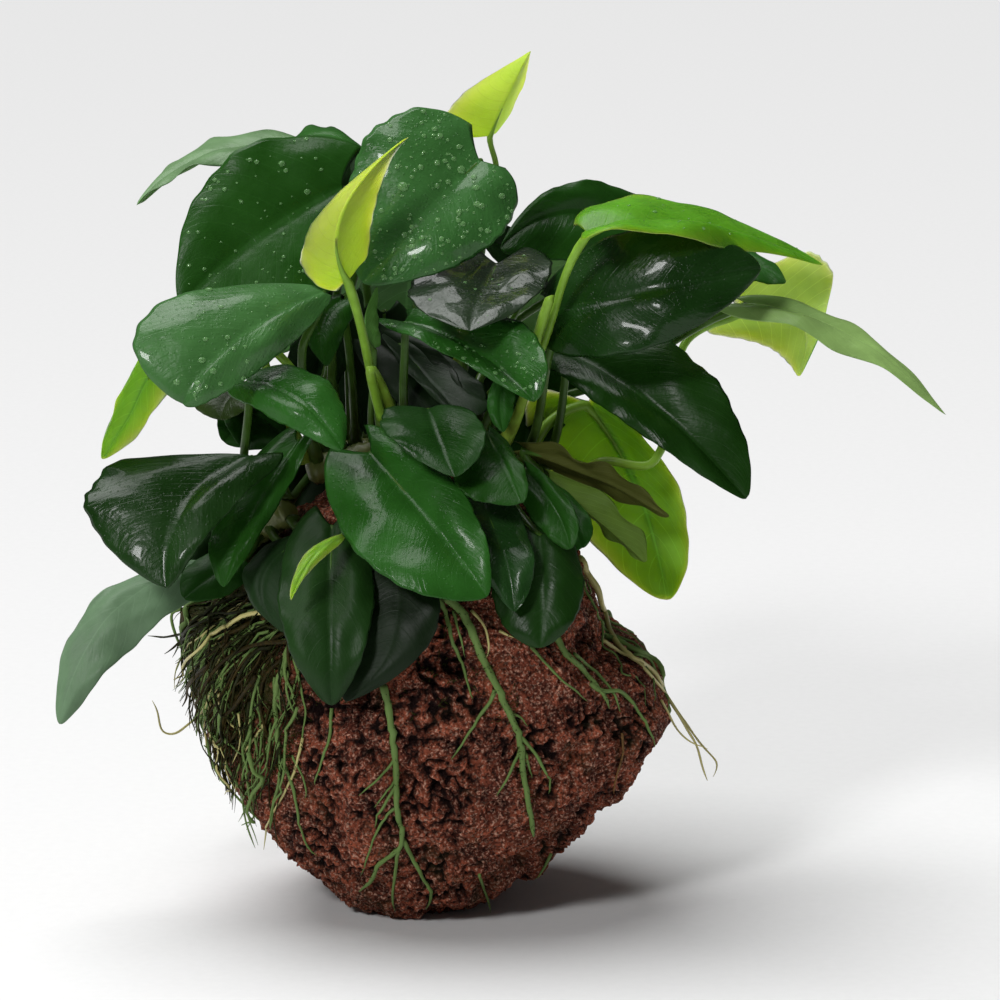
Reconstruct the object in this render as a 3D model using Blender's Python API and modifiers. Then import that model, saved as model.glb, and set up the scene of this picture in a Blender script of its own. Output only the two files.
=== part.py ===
"""An anubias plant that has grown on a lump of red lava stone.

Leathery leaves on round stems rise from four creeping rhizomes on top of the stone, and roots
run down its sides. Metres, +Z up. The origin is the middle of the flat foot that the stone
stands on, and the side that the photograph shows faces -Y.
"""

import math
from typing import NamedTuple

import bmesh
import bpy
import numpy as np
from mathutils import Vector, noise
from mathutils.bvhtree import BVHTree

MM = 0.001

# How the photograph sees the plant: places are read from its pixels, with a depth in mm
PIXEL = 0.3 * MM  # real size of one pixel at the stone's middle
VIEW_TILT = math.radians(12)  # how far the lens looks down
VIEW_DISTANCE = 1.3
CENTRE_PX = (500, 500)
FOOT_PX = (415, 900)  # where the picture shows the middle of the stone's foot

# Stone
STONE_HEART_PX = (435, 690)  # the outline's radii are measured from here
STONE_DEPTH = 54 * MM  # half of its size from front to back
STONE_DIVISIONS = 4
STONE_ROUND_RADIUS = 66 * MM
STONE_LUMP = 3.0 * MM
STONE_PIT = 4.0 * MM
STONE_CRAG = 1.4 * MM
CRAG_SPACING = 9 * MM
LUMP_SCALE, SMALL_LUMP_SCALE, PIT_SCALE = 2.2, 5.1, 6.3  # how fine each noise is
PIT_FLOOR = 0.2  # noise under this leaves the stone as it is
STONE_OUTLINE_PX = (
    (668, 700), (642, 652), (604, 628), (594, 598), (585, 566), (572, 541), (540, 508),
    (490, 480), (420, 466), (355, 474), (290, 504), (228, 562), (184, 602), (184, 642),
    (193, 695), (218, 750), (250, 806), (290, 852), (338, 893), (392, 916), (440, 916),
    (500, 892), (560, 850), (604, 806), (646, 752), (672, 716),
)

# Leaves and stems
BLADE_THICKNESS = 0.9 * MM
ROW_SHARES = (0, 0.08, 0.26, 0.5, 0.76, 1)  # how far along the blade each row of corners is
COLUMN_SHARES = (-1, -0.55, 0, 0.55, 1)
PLAIN_ROW_SHARES = (0, 0.1, 0.4, 0.72, 1)  # for blades that bulge little
PLAIN_COLUMN_SHARES = (-1, 0, 1)
PLAIN_ARCH = 1.0  # mm
WIDEST = 0.4  # how far along the blade its two edges are measured
LOBE_BACK = 0.12  # how far the lobes reach back past the stem, as a share of the length
STEM_RADIUS = 1.3 * MM
STEM_TUCK = 3.5 * MM  # length of stem that runs on under the blade
STEM_SINK = 0.7  # how far the stem's line lies under the blade, against the stem's radius
STEM_FOOT, STEM_HEAD, STEM_END = 1.15, 0.9, 0.7  # radius at the foot, the blade and the end
STEM_GAP = 0.6 * MM  # space between a rhizome and the stems on it

RHIZOME_RADIUS = 4.4 * MM
RHIZOME_SWELL = (0.6, 1.0, 0.9, 1.0, 0.9, 0.6)  # its radius from one end to the other
RHIZOME_LIFT = 1.6 * MM  # space that its middle line keeps from the stone

ROOT_STEP = 7.5 * MM
ROOT_LIFT = 0.9 * MM  # space that a root keeps from the stone
ROOT_END = 0.6  # radius at a root's end, against its start
SIDE_ROOT_START, SIDE_ROOT_END = 0.65, 0.4  # radii of a side root, against its root's start

COLOURS = {
    "mature": (0.020, 0.105, 0.018),
    "middle": (0.045, 0.190, 0.020),
    "young": (0.330, 0.560, 0.045),
    "fresh": (0.130, 0.330, 0.035),
    "olive": (0.100, 0.120, 0.025),
    "rhizome": (0.150, 0.170, 0.045),
    "root": (0.110, 0.190, 0.040),
    "pale_root": (0.480, 0.430, 0.160),
    "stone": (0.190, 0.075, 0.055),
}

# Leaves whose stems stand in view, and so are rounder
BARE_STEMS = {"young_leaf_front", "young_leaf_top", "leaf_right_pale", "leaf_right_underside"}

RHIZOMES = {  # mm to the right and back of the foot's middle, first end and second end
    "left": ((-32, -6), (2, 0)),
    "right": ((9, -4), (46, 10)),
    "back": ((-30, 24), (22, 28)),
    "low": ((-54, -8), (-36, -18)),
}


class Leaf(NamedTuple):
    """A leaf by five places, each as u, v and depth: its midrib's ends and middle, and the
    edges where it is widest, left and right as its upper side shows them with the tip ahead."""

    name: str
    base: tuple
    middle: tuple
    tip: tuple
    left: tuple
    right: tuple
    rhizome: str
    along: float  # where on the rhizome the stem starts
    via: tuple = ()  # places that the stem passes
    age: str = "mature"
    arch: float = 2.0  # mm that each half bulges upward
    lobes: tuple = (1.0, 1.0)  # how far the blade reaches back, left and right of its stem
    taper: float = 0.38  # larger where the blade starts narrow
    drawn: float = 0.25  # how much the outline draws in toward the tip
    stem: float = 1.0  # the stem's radius against STEM_RADIUS


LEAVES = (
    # Crown, left
    Leaf("leaf_crown_left", (343, 187, 12), (254, 240, 2), (180, 306, -10), (322, 296, -6),
         (226, 160, 12), "left", 0.32, lobes=(1.0, 1.5)),
    Leaf("leaf_crown_wet", (480, 160, 0), (425, 214, -10), (362, 283, -17), (494, 242, -12),
         (369, 134, 0), "right", 0.0, via=((472, 310, 11),), lobes=(0.5, 1.2)),
    Leaf("leaf_far_left_high", (318, 150, 40), (228, 150, 38), (137, 205, 20), (222, 162, 20),
         (232, 137, 52), "back", 0.12, age="middle"),
    Leaf("leaf_back_left", (372, 166, 56), (334, 136, 64), (286, 150, 70), (328, 153, 50),
         (332, 127, 76), "back", 0.4, age="middle", arch=1),
    Leaf("young_leaf_front", (347, 281, -34), (342, 212, -39), (409, 137, -26), (373, 218, -27),
         (303, 243, -32), "left", 0.8, via=((372, 370, -26), (381, 416, -14)), age="young",
         arch=-1.5, lobes=(-0.6, 0.3), drawn=0.85, stem=1.1),
    Leaf("young_leaf_top", (489, 136, 24), (509, 92, 20), (531, 51, 26), (519, 96, 34),
         (447, 111, 28), "back", 0.78, via=((496, 172, 26),), age="young", arch=-1,
         lobes=(-0.3, -0.5), drawn=0.8, stem=0.7),
    Leaf("leaf_left_wet", (324, 292, -20), (234, 342, -42), (183, 404, -50), (264, 366, -40),
         (160, 304, -34), "left", 0.1, via=((302, 352, -22),), age="middle", lobes=(0.2, 0.2),
         taper=0.55),
    Leaf("leaf_left_hanging", (166, 342, -22), (135, 400, -27), (102, 459, -30),
         (124, 388, -36), (162, 402, -20), "left", 0.0, via=((262, 348, -14), (296, 386, -10)),
         age="fresh"),
    # Left flank
    Leaf("leaf_front_small", (246, 381, -30), (300, 402, -44), (342, 450, -52), (322, 377, -34),
         (270, 417, -44), "low", 0.58, age="middle"),
    Leaf("leaf_left_heart", (252, 456, -29), (184, 508, -44), (166, 588, -56), (232, 508, -46),
         (92, 482, -34), "low", 0.1, via=((224, 478, -21),), lobes=(0.8, -0.6)),
    Leaf("leaf_left_narrow", (298, 441, -22), (250, 517, -36), (224, 587, -49), (284, 494, -32),
         (222, 500, -28), "low", 0.84, arch=1),
    Leaf("leaf_lowest_left", (184, 570, -24), (100, 622, -36), (55, 724, -46), (142, 634, -36),
         (90, 600, -28), "low", 0.25, age="olive", arch=1),
    Leaf("leaf_left_under", (268, 384, 0), (232, 396, -8), (222, 420, -14), (262, 402, -14),
         (198, 397, -2), "back", 0.0, age="olive", arch=1),
    Leaf("leaf_left_shade", (272, 426, 0), (254, 427, -8), (244, 449, -16), (280, 442, -12),
         (226, 412, 0), "low", 0.95, arch=1),
    Leaf("leaf_low_shade", (244, 560, -24), (214, 574, -30), (184, 598, -36), (228, 594, -32),
         (194, 560, -26), "low", 0.45, arch=1),
    # Front
    Leaf("leaf_front_centre", (370, 452, -26), (436, 528, -50), (487, 597, -64),
         (458, 485, -44), (361, 557, -59), "left", 0.92, age="middle"),
    Leaf("leaf_front_low", (332, 526, -36), (330, 616, -60), (332, 706, -68), (374, 598, -56),
         (278, 598, -55), "low", 1.0),
    Leaf("young_leaf_low", (345, 534, -48), (314, 556, -62), (291, 600, -66), (317, 564, -62),
         (308, 551, -60), "left", 0.5, via=((366, 505, -32),), age="young", arch=0.6,
         lobes=(0, 0), stem=0.7),
    Leaf("leaf_front_behind", (392, 560, -46), (392, 640, -60), (346, 702, -62),
         (439, 620, -59), (352, 612, -50), "left", 0.7, via=((397, 505, -34),), arch=1),
    Leaf("leaf_front_shade", (290, 545, -32), (262, 586, -40), (282, 632, -46), (302, 590, -42),
         (244, 572, -34), "low", 0.68, arch=1),
    Leaf("leaf_front_right_low", (540, 536, -42), (542, 598, -54), (540, 648, -60),
         (584, 588, -50), (493, 596, -50), "right", 0.32),
    Leaf("leaf_front_right_mid", (480, 496, -32), (504, 556, -51), (514, 612, -60),
         (531, 540, -48), (462, 530, -46), "right", 0.18, arch=1),
    Leaf("leaf_front_right_high", (487, 432, -28), (506, 468, -42), (521, 503, -52),
         (523, 466, -42), (456, 484, -46), "right", 0.08, arch=1),
    Leaf("leaf_front_right_side", (526, 470, -30), (556, 510, -40), (570, 549, -48),
         (571, 503, -42), (531, 517, -40), "right", 0.5, arch=1),
    Leaf("leaf_front_right_back", (542, 484, -14), (568, 515, -28), (582, 548, -36),
         (587, 512, -28), (540, 534, -28), "right", 0.66, age="middle", arch=1),
    Leaf("leaf_centre_flat", (428, 409, -26), (440, 442, -41), (455, 477, -54), (485, 428, -46),
         (382, 428, -38), "left", 1.0, arch=1, lobes=(0.2, 0.2)),
    Leaf("leaf_centre_wet", (497, 263, -4), (480, 302, -24), (470, 331, -38), (548, 282, -16),
         (408, 286, -18), "right", 0.28, arch=1.2, lobes=(1.2, 1.2)),
    Leaf("leaf_centre_drops", (404, 322, -6), (474, 350, -24), (534, 402, -40), (520, 322, -24),
         (430, 346, -26), "left", 0.9, age="middle"),
    Leaf("leaf_centre_shade", (400, 345, 12), (432, 382, 0), (460, 418, -16), (484, 388, -4),
         (402, 366, 2), "back", 0.5, arch=1),
    Leaf("leaf_centre_small", (504, 378, -8), (500, 404, -12), (503, 432, -18), (515, 400, -10),
         (487, 402, -12), "right", 0.2, age="middle", arch=1),
    Leaf("young_leaf_rolled", (374, 348, -10), (366, 322, -14), (377, 287, -12),
         (379, 326, -11), (364, 330, -10), "left", 0.6, age="middle", arch=0, lobes=(0, 0),
         stem=0.7),
    Leaf("leaf_inner_left", (342, 300, -2), (322, 326, -8), (326, 366, -14), (348, 326, -8),
         (304, 316, -4), "back", 0.22, arch=1),
    # Right
    Leaf("leaf_right_dark", (557, 310, -15), (660, 288, -29), (761, 269, -22), (645, 229, -18),
         (634, 353, -34), "right", 0.56, via=((549, 354, -10),), lobes=(0.8, 0.8)),
    Leaf("leaf_right_hanging", (566, 352, 2), (652, 404, -18), (746, 499, -30), (694, 358, -12),
         (612, 414, -22), "right", 0.74),
    Leaf("leaf_right_pale", (586, 232, -30), (692, 222, -20), (823, 265, -2), (646, 199, -4),
         (652, 235, -36), "right", 0.36, via=((549, 300, -28), (532, 368, -16)), age="fresh",
         lobes=(0.2, 0.0)),
    Leaf("leaf_right_underside", (587, 402, 14), (640, 492, 18), (667, 600, 6), (548, 484, 22),
         (677, 486, 6), "right", 0.62, via=((548, 424, 8),), age="fresh", stem=1.25),
    Leaf("leaf_right_olive", (524, 448, -4), (592, 474, -8), (669, 516, -12), (588, 488, -2),
         (592, 460, -12), "right", 0.7, age="olive", arch=0.5),
    Leaf("leaf_right_olive_low", (548, 478, -6), (598, 518, -12), (645, 562, -16),
         (590, 522, -6), (618, 507, -14), "right", 0.9, age="olive", arch=0.5),
    Leaf("leaf_far_right_underside", (738, 314, 20), (800, 322, 14), (801, 375, 6),
         (764, 346, 18), (822, 256, 12), "right", 0.96,
         via=((600, 462, 0), (655, 460, -2), (684, 345, 14)), age="fresh"),
    Leaf("leaf_far_right_twisted", (745, 303, -8), (850, 334, -14), (946, 415, -22),
         (827, 314, -4), (813, 337, -20), "back", 1.0, via=((610, 380, 16),), age="middle",
         arch=1.5, drawn=0.7),
    Leaf("leaf_right_tip", (700, 252, 12), (745, 258, 8), (786, 282, 2), (744, 246, 16),
         (734, 278, 2), "back", 0.92, age="middle", arch=1),
    Leaf("leaf_back_right", (650, 226, 34), (562, 212, 24), (500, 248, 12), (592, 262, 18),
         (582, 181, 30), "back", 0.68),
    # Behind, out of the photograph's sight
    Leaf("leaf_behind_left", (330, 250, 60), (262, 292, 76), (214, 372, 84), (262, 250, 66),
         (316, 330, 82), "back", 0.05, arch=1),
    Leaf("leaf_behind_middle", (420, 240, 62), (408, 290, 84), (404, 366, 96), (340, 290, 76),
         (470, 290, 78), "back", 0.55, arch=1),
    Leaf("leaf_behind_right", (520, 270, 56), (556, 310, 76), (580, 390, 88), (504, 326, 80),
         (600, 280, 66), "back", 0.85, age="middle", arch=1),
    Leaf("leaf_behind_low_left", (362, 338, 56), (357, 400, 50), (350, 462, 46), (404, 392, 50),
         (318, 398, 52), "back", 0.3, arch=1),
    Leaf("leaf_behind_low_middle", (440, 390, 66), (452, 450, 82), (456, 526, 88),
         (394, 450, 78), (506, 446, 76), "back", 0.6, age="middle", arch=1),
    Leaf("leaf_behind_low_right", (540, 404, 50), (592, 444, 60), (622, 512, 64),
         (560, 464, 66), (622, 420, 54), "back", 0.96, arch=1),
)


class Root(NamedTuple):
    """A root by the pixels it passes on the stone, its thickness in mm and its side roots."""

    name: str
    path: tuple
    thick: float
    sides: tuple = ()
    age: str = "root"


ROOTS = (
    Root("root_front", ((384, 690), (391, 722), (396, 756), (397, 810), (404, 832), (399, 850),
                        (381, 858), (374, 875), (359, 888)), 2.6,
         sides=(((404, 838), (411, 852), (422, 874), (430, 893)),
                ((399, 850), (394, 882), (393, 905)),
                ((396, 756), (388, 797), (374, 822)))),
    Root("root_thick", ((446, 600), (463, 618), (479, 652), (494, 682), (504, 705), (516, 732),
                        (522, 769), (527, 800), (531, 834)), 3.4,
         sides=(((494, 682), (479, 716), (466, 736), (451, 759)),
                ((520, 740), (535, 754), (545, 772), (549, 792)),
                ((520, 755), (507, 777), (496, 795)))),
    Root("root_thin", ((435, 606), (451, 636), (463, 667), (472, 698)), 1.8),
    Root("root_right", ((553, 636), (565, 654), (578, 667), (596, 688), (606, 708)), 2.6,
         sides=(((596, 688), (619, 691), (632, 703), (644, 724), (650, 734)),)),
    Root("root_pale", ((580, 560), (588, 575), (597, 591), (600, 611), (606, 631), (616, 650),
                       (640, 664), (655, 684), (664, 708)), 2.4, age="pale_root"),
    Root("root_left", ((300, 622), (284, 668), (279, 700), (282, 740), (281, 770), (275, 800),
                       (274, 826)), 2.2,
         sides=(((281, 762), (295, 790), (305, 840), (318, 855)),
                ((280, 700), (262, 740), (262, 790)))),
    Root("root_far_left", ((266, 612), (235, 622), (210, 650), (206, 690), (214, 730),
                           (230, 766), (254, 798)), 2.2,
         sides=(((214, 645), (224, 690), (246, 742)),)),
)


def seen(u, v, depth_mm):
    """The point that the photograph shows at pixel (u, v), depth_mm behind the stone's middle."""
    eye, ray = sight_line(u, v)
    return eye + ray * ((depth_mm * MM - eye.y) / ray.y)


def sight_line(u, v):
    tilt_cos, tilt_sin = math.cos(VIEW_TILT), math.sin(VIEW_TILT)
    target = Vector((
        (CENTRE_PX[0] - FOOT_PX[0]) * PIXEL,
        0,
        (FOOT_PX[1] - CENTRE_PX[1]) * PIXEL / tilt_cos,
    ))
    ahead = Vector((0, tilt_cos, -tilt_sin))
    up = Vector((0, tilt_sin, tilt_cos))
    ray = (
        ahead * VIEW_DISTANCE
        + Vector((1, 0, 0)) * (u - CENTRE_PX[0]) * PIXEL
        - up * (v - CENTRE_PX[1]) * PIXEL
    )
    return target - ahead * VIEW_DISTANCE, ray


def unit_part(vector, axis):
    """The part of vector that is square to axis, one unit long."""
    return (vector - axis * vector.dot(axis)).normalized()


class Blade:
    """The curved surface of one leaf's upper side."""

    def __init__(self, leaf):
        self.base, self.middle, self.tip = (
            seen(*place) for place in (leaf.base, leaf.middle, leaf.tip)
        )
        widest = self.midrib(WIDEST)
        self.left = seen(*leaf.left) - widest
        self.right = seen(*leaf.right) - widest
        self.across = self.right - self.left
        self.arch = leaf.arch * MM
        self.lobes = leaf.lobes
        self.taper = leaf.taper
        self.drawn = leaf.drawn

    def midrib(self, share):
        """The parabola through base, middle and tip; straight on behind the base."""
        if share < 0:
            return self.base + self.run(0) * share
        return (
            self.base * (1 - share) * (1 - 2 * share)
            + self.middle * 4 * share * (1 - share)
            + self.tip * share * (2 * share - 1)
        )

    def run(self, share):
        """How the midrib moves on for each unit of its length."""
        return (
            self.base * (4 * share - 3)
            + self.middle * (4 - 8 * share)
            + self.tip * (4 * share - 1)
        )

    def up(self, share):
        return self.across.cross(self.run(share)).normalized()

    def fullness(self, share):
        """The outline's half width along the blade: round behind, drawn out to the tip."""
        narrow = 1 - self.drawn * share**4
        return (share + 0.01) ** self.taper * max(1 - share, 0) ** 0.6 * narrow

    def point(self, share, across):
        """A place share of the way to the tip, -1 (left) to 1 (right) across."""
        side = abs(across)
        full = self.fullness(share) / self.fullness(WIDEST)
        back = LOBE_BACK * self.lobes[across > 0] * side**1.5 * (1 - share) ** 5
        edge = (self.right if across > 0 else self.left) * side * full
        rise = self.arch * 4 * side * (1 - side) * full
        return self.midrib(share - back) + edge + self.up(share) * rise


def new_material(name, colour, roughness):
    material = bpy.data.materials.new(name)
    material.use_nodes = True
    shader = material.node_tree.nodes["Principled BSDF"]
    shader.inputs["Base Color"].default_value = (*colour, 1)
    shader.inputs["Roughness"].default_value = roughness
    return material


def make_collection(name):
    collection = bpy.data.collections.new(name)
    bpy.context.scene.collection.children.link(collection)
    return collection


def add_object(name, data, collection, material):
    obj = bpy.data.objects.new(name, data)
    collection.objects.link(obj)
    data.materials.append(material)
    return obj


def tube(name, places, radii, collection, material, roundness=1):
    """A round rod through places, as a mesh with welded caps."""
    curve = bpy.data.curves.new(name, "CURVE")
    curve.dimensions = "3D"
    curve.bevel_depth = 1.0
    curve.bevel_resolution = roundness
    curve.use_fill_caps = True
    spline = curve.splines.new("POLY")
    spline.points.add(len(places) - 1)
    for point, place, radius in zip(spline.points, places, radii):
        point.co = (*place, 1)
        point.radius = radius
    guide = bpy.data.objects.new(name + "_line", curve)
    collection.objects.link(guide)
    bpy.context.view_layer.update()
    evaluated = guide.evaluated_get(bpy.context.evaluated_depsgraph_get())
    mesh = bpy.data.meshes.new_from_object(evaluated)
    mesh.name = name
    bpy.data.objects.remove(guide)
    work = bmesh.new()
    work.from_mesh(mesh)
    bmesh.ops.remove_doubles(work, verts=work.verts, dist=0.00005)
    work.to_mesh(mesh)
    work.free()
    return add_object(name, mesh, collection, material)


def fuse(body, extra):
    """Makes extra part of body, and keeps extra out of sight."""
    extra.hide_render = True
    extra.display_type = "WIRE"
    join = body.modifiers.new(extra.name, "BOOLEAN")
    join.operation = "UNION"
    join.object = extra


def bezier(p0, p1, p2, p3, count):
    for step in range(count + 1):
        t = step / count
        yield (
            p0 * (1 - t) ** 3
            + p1 * 3 * t * (1 - t) ** 2
            + p2 * 3 * t**2 * (1 - t)
            + p3 * t**3
        )


def stem_places(leaf, blade, core, bark):
    """The stem's line, from the rhizome's bark to just under the start of the midrib."""
    head, up = blade.run(0).normalized(), blade.up(0)
    under = blade.base - up * STEM_RADIUS * leaf.stem * STEM_SINK
    stops = [seen(*place) for place in leaf.via]
    start = core + unit_part((stops or [under])[0] - core, bark) * (RHIZOME_RADIUS + STEM_GAP)
    stops = [start, *stops, under]
    if leaf.via:
        ways = [start - core]
        ways += [stops[k + 1] - stops[k - 1] for k in range(1, len(stops) - 1)]
        ways.append(under - stops[-2] + head * (under - stops[-2]).length * 0.5)
    else:
        reach = (under - start).normalized()
        ways = [start - core, reach + up * 0.5 + head * 0.1]
    count = 2 if leaf.via else 3
    places = [start]
    for low, high, leave, arrive in zip(stops, stops[1:], ways, ways[1:]):
        pull = (high - low).length / 3
        curve = bezier(
            low, low + leave.normalized() * pull, high - arrive.normalized() * pull, high, count
        )
        places += list(curve)[1:]
    return places + [under + head * STEM_TUCK]


def make_leaf(leaf, rhizomes, parts, cutters, materials):
    blade = Blade(leaf)
    plain = abs(leaf.arch) <= PLAIN_ARCH
    row_shares = PLAIN_ROW_SHARES if plain else ROW_SHARES
    column_shares = PLAIN_COLUMN_SHARES if plain else COLUMN_SHARES
    rows, columns = len(row_shares) - 1, len(column_shares) - 1
    work = bmesh.new()
    bmesh.ops.create_grid(work, x_segments=rows, y_segments=columns, size=0.5)
    for vert in work.verts:
        row, column = round((vert.co.x + 0.5) * rows), round((0.5 - vert.co.y) * columns)
        vert.co = blade.point(row_shares[row], column_shares[column])
    bmesh.ops.remove_doubles(work, verts=work.verts, dist=0.0003)
    mesh = bpy.data.meshes.new(leaf.name)
    work.to_mesh(mesh)
    work.free()
    body = add_object(leaf.name, mesh, parts, materials[leaf.age])
    shell = body.modifiers.new("thickness", "SOLIDIFY")
    shell.thickness = BLADE_THICKNESS
    shell.offset = -1
    low, high = rhizomes[leaf.rhizome]
    places = stem_places(leaf, blade, low.lerp(high, leaf.along), (high - low).normalized())
    radius = STEM_RADIUS * leaf.stem
    radii = list(np.linspace(STEM_FOOT, STEM_HEAD, len(places)) * radius)
    radii[-1] = STEM_END * radius
    roundness = 1 if leaf.name in BARE_STEMS else 0
    fuse(body, tube(leaf.name + "_stem", places, radii, cutters, materials[leaf.age], roundness))


def stone_radius(angle):
    """How far the stone's outline lies from its heart, at an angle in the front view."""
    offsets = np.array(STONE_OUTLINE_PX) - np.array(STONE_HEART_PX)
    angles = np.arctan2(-offsets[:, 1], offsets[:, 0])
    radii = np.hypot(offsets[:, 0], offsets[:, 1]) * PIXEL
    order = np.argsort(angles)
    return float(np.interp(angle, angles[order], radii[order], period=2 * math.pi))


def make_stone(parts, materials):
    heart = seen(*STONE_HEART_PX, 0)
    work = bmesh.new()
    bmesh.ops.create_icosphere(work, subdivisions=STONE_DIVISIONS, radius=1)
    for vert in work.verts:
        ball = vert.co.copy()
        angle = math.atan2(ball.z, ball.x)
        level = math.hypot(ball.x, ball.z)
        own = level**3
        radius = stone_radius(angle) * own + STONE_ROUND_RADIUS * (1 - own)
        radius *= level**0.8
        depth = math.copysign(abs(ball.y) ** 0.85, ball.y) * STONE_DEPTH
        place = Vector((math.cos(angle) * radius, depth, math.sin(angle) * radius))
        lump = noise.noise(ball * LUMP_SCALE)
        lump += 0.5 * noise.noise(ball * SMALL_LUMP_SCALE + Vector((7, 3, 1)))
        pit = max(noise.noise(ball * PIT_SCALE + Vector((2, 9, 4))) - PIT_FLOOR, 0) * 2
        place += heart
        crag = STONE_CRAG * noise.noise(place / CRAG_SPACING)
        vert.co = place + ball * (STONE_LUMP * lump - STONE_PIT * pit + crag)
    bmesh.ops.bisect_plane(
        work, geom=work.verts[:] + work.edges[:] + work.faces[:], plane_co=(0, 0, 0),
        plane_no=(0, 0, -1), clear_outer=True,
    )
    rim = [edge for edge in work.edges if edge.is_boundary]
    bmesh.ops.contextual_create(work, geom=rim)
    bmesh.ops.recalc_face_normals(work, faces=work.faces)
    surface = BVHTree.FromBMesh(work)
    mesh = bpy.data.meshes.new("stone")
    work.to_mesh(mesh)
    work.free()
    add_object("stone", mesh, parts, materials["stone"])
    return surface


def stone_top(surface, x_mm, y_mm):
    above = Vector((x_mm * MM, y_mm * MM, 1))
    return surface.ray_cast(above, Vector((0, 0, -1)))[0]


def make_rhizomes(surface, parts, materials):
    """Rods that lie along the top of the stone; returns the two ends of each."""
    ends = {}
    count = len(RHIZOME_SWELL) - 1
    for name, (low, high) in RHIZOMES.items():
        under = [
            stone_top(surface, *(a + (b - a) * k / (2 * count) for a, b in zip(low, high)))
            for k in range(2 * count + 1)
        ]
        start, end = under[0].copy(), under[-1].copy()
        rise = max(
            place.z - start.lerp(end, k / (2 * count)).z for k, place in enumerate(under)
        )
        lift = Vector((0, 0, rise + RHIZOME_RADIUS + RHIZOME_LIFT))
        start, end = start + lift, end + lift
        places = [start.lerp(end, k / count) for k in range(count + 1)]
        radii = [RHIZOME_RADIUS * swell for swell in RHIZOME_SWELL]
        tube("rhizome_" + name, places, radii, parts, materials["rhizome"], 2)
        ends[name] = (start, end)
    return ends


def root_places(path, radius, surface):
    """The path's pixels laid on the stone; past its edge they keep the last depth."""
    stops = [Vector(stop) for stop in path]
    pixels = [stops[0]]
    for low, high in zip(stops, stops[1:]):
        count = max(1, round((high - low).length * PIXEL / ROOT_STEP))
        pixels += [low.lerp(high, (k + 1) / count) for k in range(count)]
    places, depth = [], None
    for pixel in pixels:
        eye, ray = sight_line(*pixel)
        hit, normal, _, _ = surface.ray_cast(eye, ray.normalized())
        if hit is None:
            places.append(seen(*pixel, depth / MM))
            continue
        place = hit + normal * (radius + ROOT_LIFT)
        depth = place.y
        places.append(place)
    return places


def make_root(root, surface, parts, cutters, materials):
    radius = root.thick / 2 * MM

    def rod(name, path, start, end, collection):
        places = root_places(path, start, surface)
        radii = np.linspace(start, end, len(places))
        return tube(name, places, radii, collection, materials[root.age], 0)

    body = rod(root.name, root.path, radius, radius * ROOT_END, parts)
    for k, path in enumerate(root.sides):
        side_radii = radius * SIDE_ROOT_START, radius * SIDE_ROOT_END
        fuse(body, rod(f"{root.name}_side_{k}", path, *side_radii, cutters))


def main():
    for obj in list(bpy.data.objects):
        bpy.data.objects.remove(obj)
    parts = make_collection("anubias_on_stone")
    cutters = make_collection("cutters")
    materials = {
        name: new_material(name, colour, 0.9 if name == "stone" else 0.3)
        for name, colour in COLOURS.items()
    }
    surface = make_stone(parts, materials)
    rhizomes = make_rhizomes(surface, parts, materials)
    for leaf in LEAVES:
        make_leaf(leaf, rhizomes, parts, cutters, materials)
    for root in ROOTS:
        make_root(root, surface, parts, cutters, materials)


main()
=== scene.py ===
"""Looks of an anubias plant that has grown on a lump of red lava stone.

Laid out as a Blender add-on: sizes and colours are properties, each group of like pieces is an
operator, and one panel lists them. Metres, +Z up; the side that the photograph shows faces -Y.
"""

import math
import zlib
from typing import NamedTuple

import bmesh
import bpy
import numpy as np
from bpy.props import FloatProperty, FloatVectorProperty, IntProperty, PointerProperty
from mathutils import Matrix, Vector, noise
from mathutils.bvhtree import BVHTree


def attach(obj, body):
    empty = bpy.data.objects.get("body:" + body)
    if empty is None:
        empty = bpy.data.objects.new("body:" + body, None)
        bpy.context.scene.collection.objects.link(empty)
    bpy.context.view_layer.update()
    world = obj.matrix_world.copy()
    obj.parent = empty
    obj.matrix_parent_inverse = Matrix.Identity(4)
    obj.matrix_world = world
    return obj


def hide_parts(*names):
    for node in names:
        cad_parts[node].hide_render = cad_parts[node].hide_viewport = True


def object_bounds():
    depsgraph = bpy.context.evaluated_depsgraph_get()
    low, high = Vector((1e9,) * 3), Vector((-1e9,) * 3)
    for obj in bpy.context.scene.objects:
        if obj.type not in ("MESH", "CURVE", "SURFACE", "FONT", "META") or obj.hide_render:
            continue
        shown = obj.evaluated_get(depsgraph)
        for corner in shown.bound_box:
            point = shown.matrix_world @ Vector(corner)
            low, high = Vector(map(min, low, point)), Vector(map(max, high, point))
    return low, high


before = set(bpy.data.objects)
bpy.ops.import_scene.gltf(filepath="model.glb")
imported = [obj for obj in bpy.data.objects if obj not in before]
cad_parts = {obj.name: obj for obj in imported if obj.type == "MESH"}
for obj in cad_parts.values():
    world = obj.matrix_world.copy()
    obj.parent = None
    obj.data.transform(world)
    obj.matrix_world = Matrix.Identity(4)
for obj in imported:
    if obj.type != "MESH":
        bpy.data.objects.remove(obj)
SOLID_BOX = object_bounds()

bl_info = {
    "name": "Anubias on stone",
    "version": (1, 0, 0),
    "blender": (4, 5, 0),
    "location": "View3D > Sidebar > Anubias",
    "description": "Builds a glossy-leaved water plant on red lava stone around its solids",
    "category": "Object",
}

MM = 0.001
BODY = "root"

# How the photograph sees the plant: places are read from its pixels, with a depth in mm
PIXEL = 0.3 * MM
VIEW_TILT = math.radians(12)
VIEW_DISTANCE = 1.3
CENTRE_PX = (500, 500)
FOOT_PX = (415, 900)
PICTURE_WIDTH = 1000
SENSOR_MM = 36.0

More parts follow.
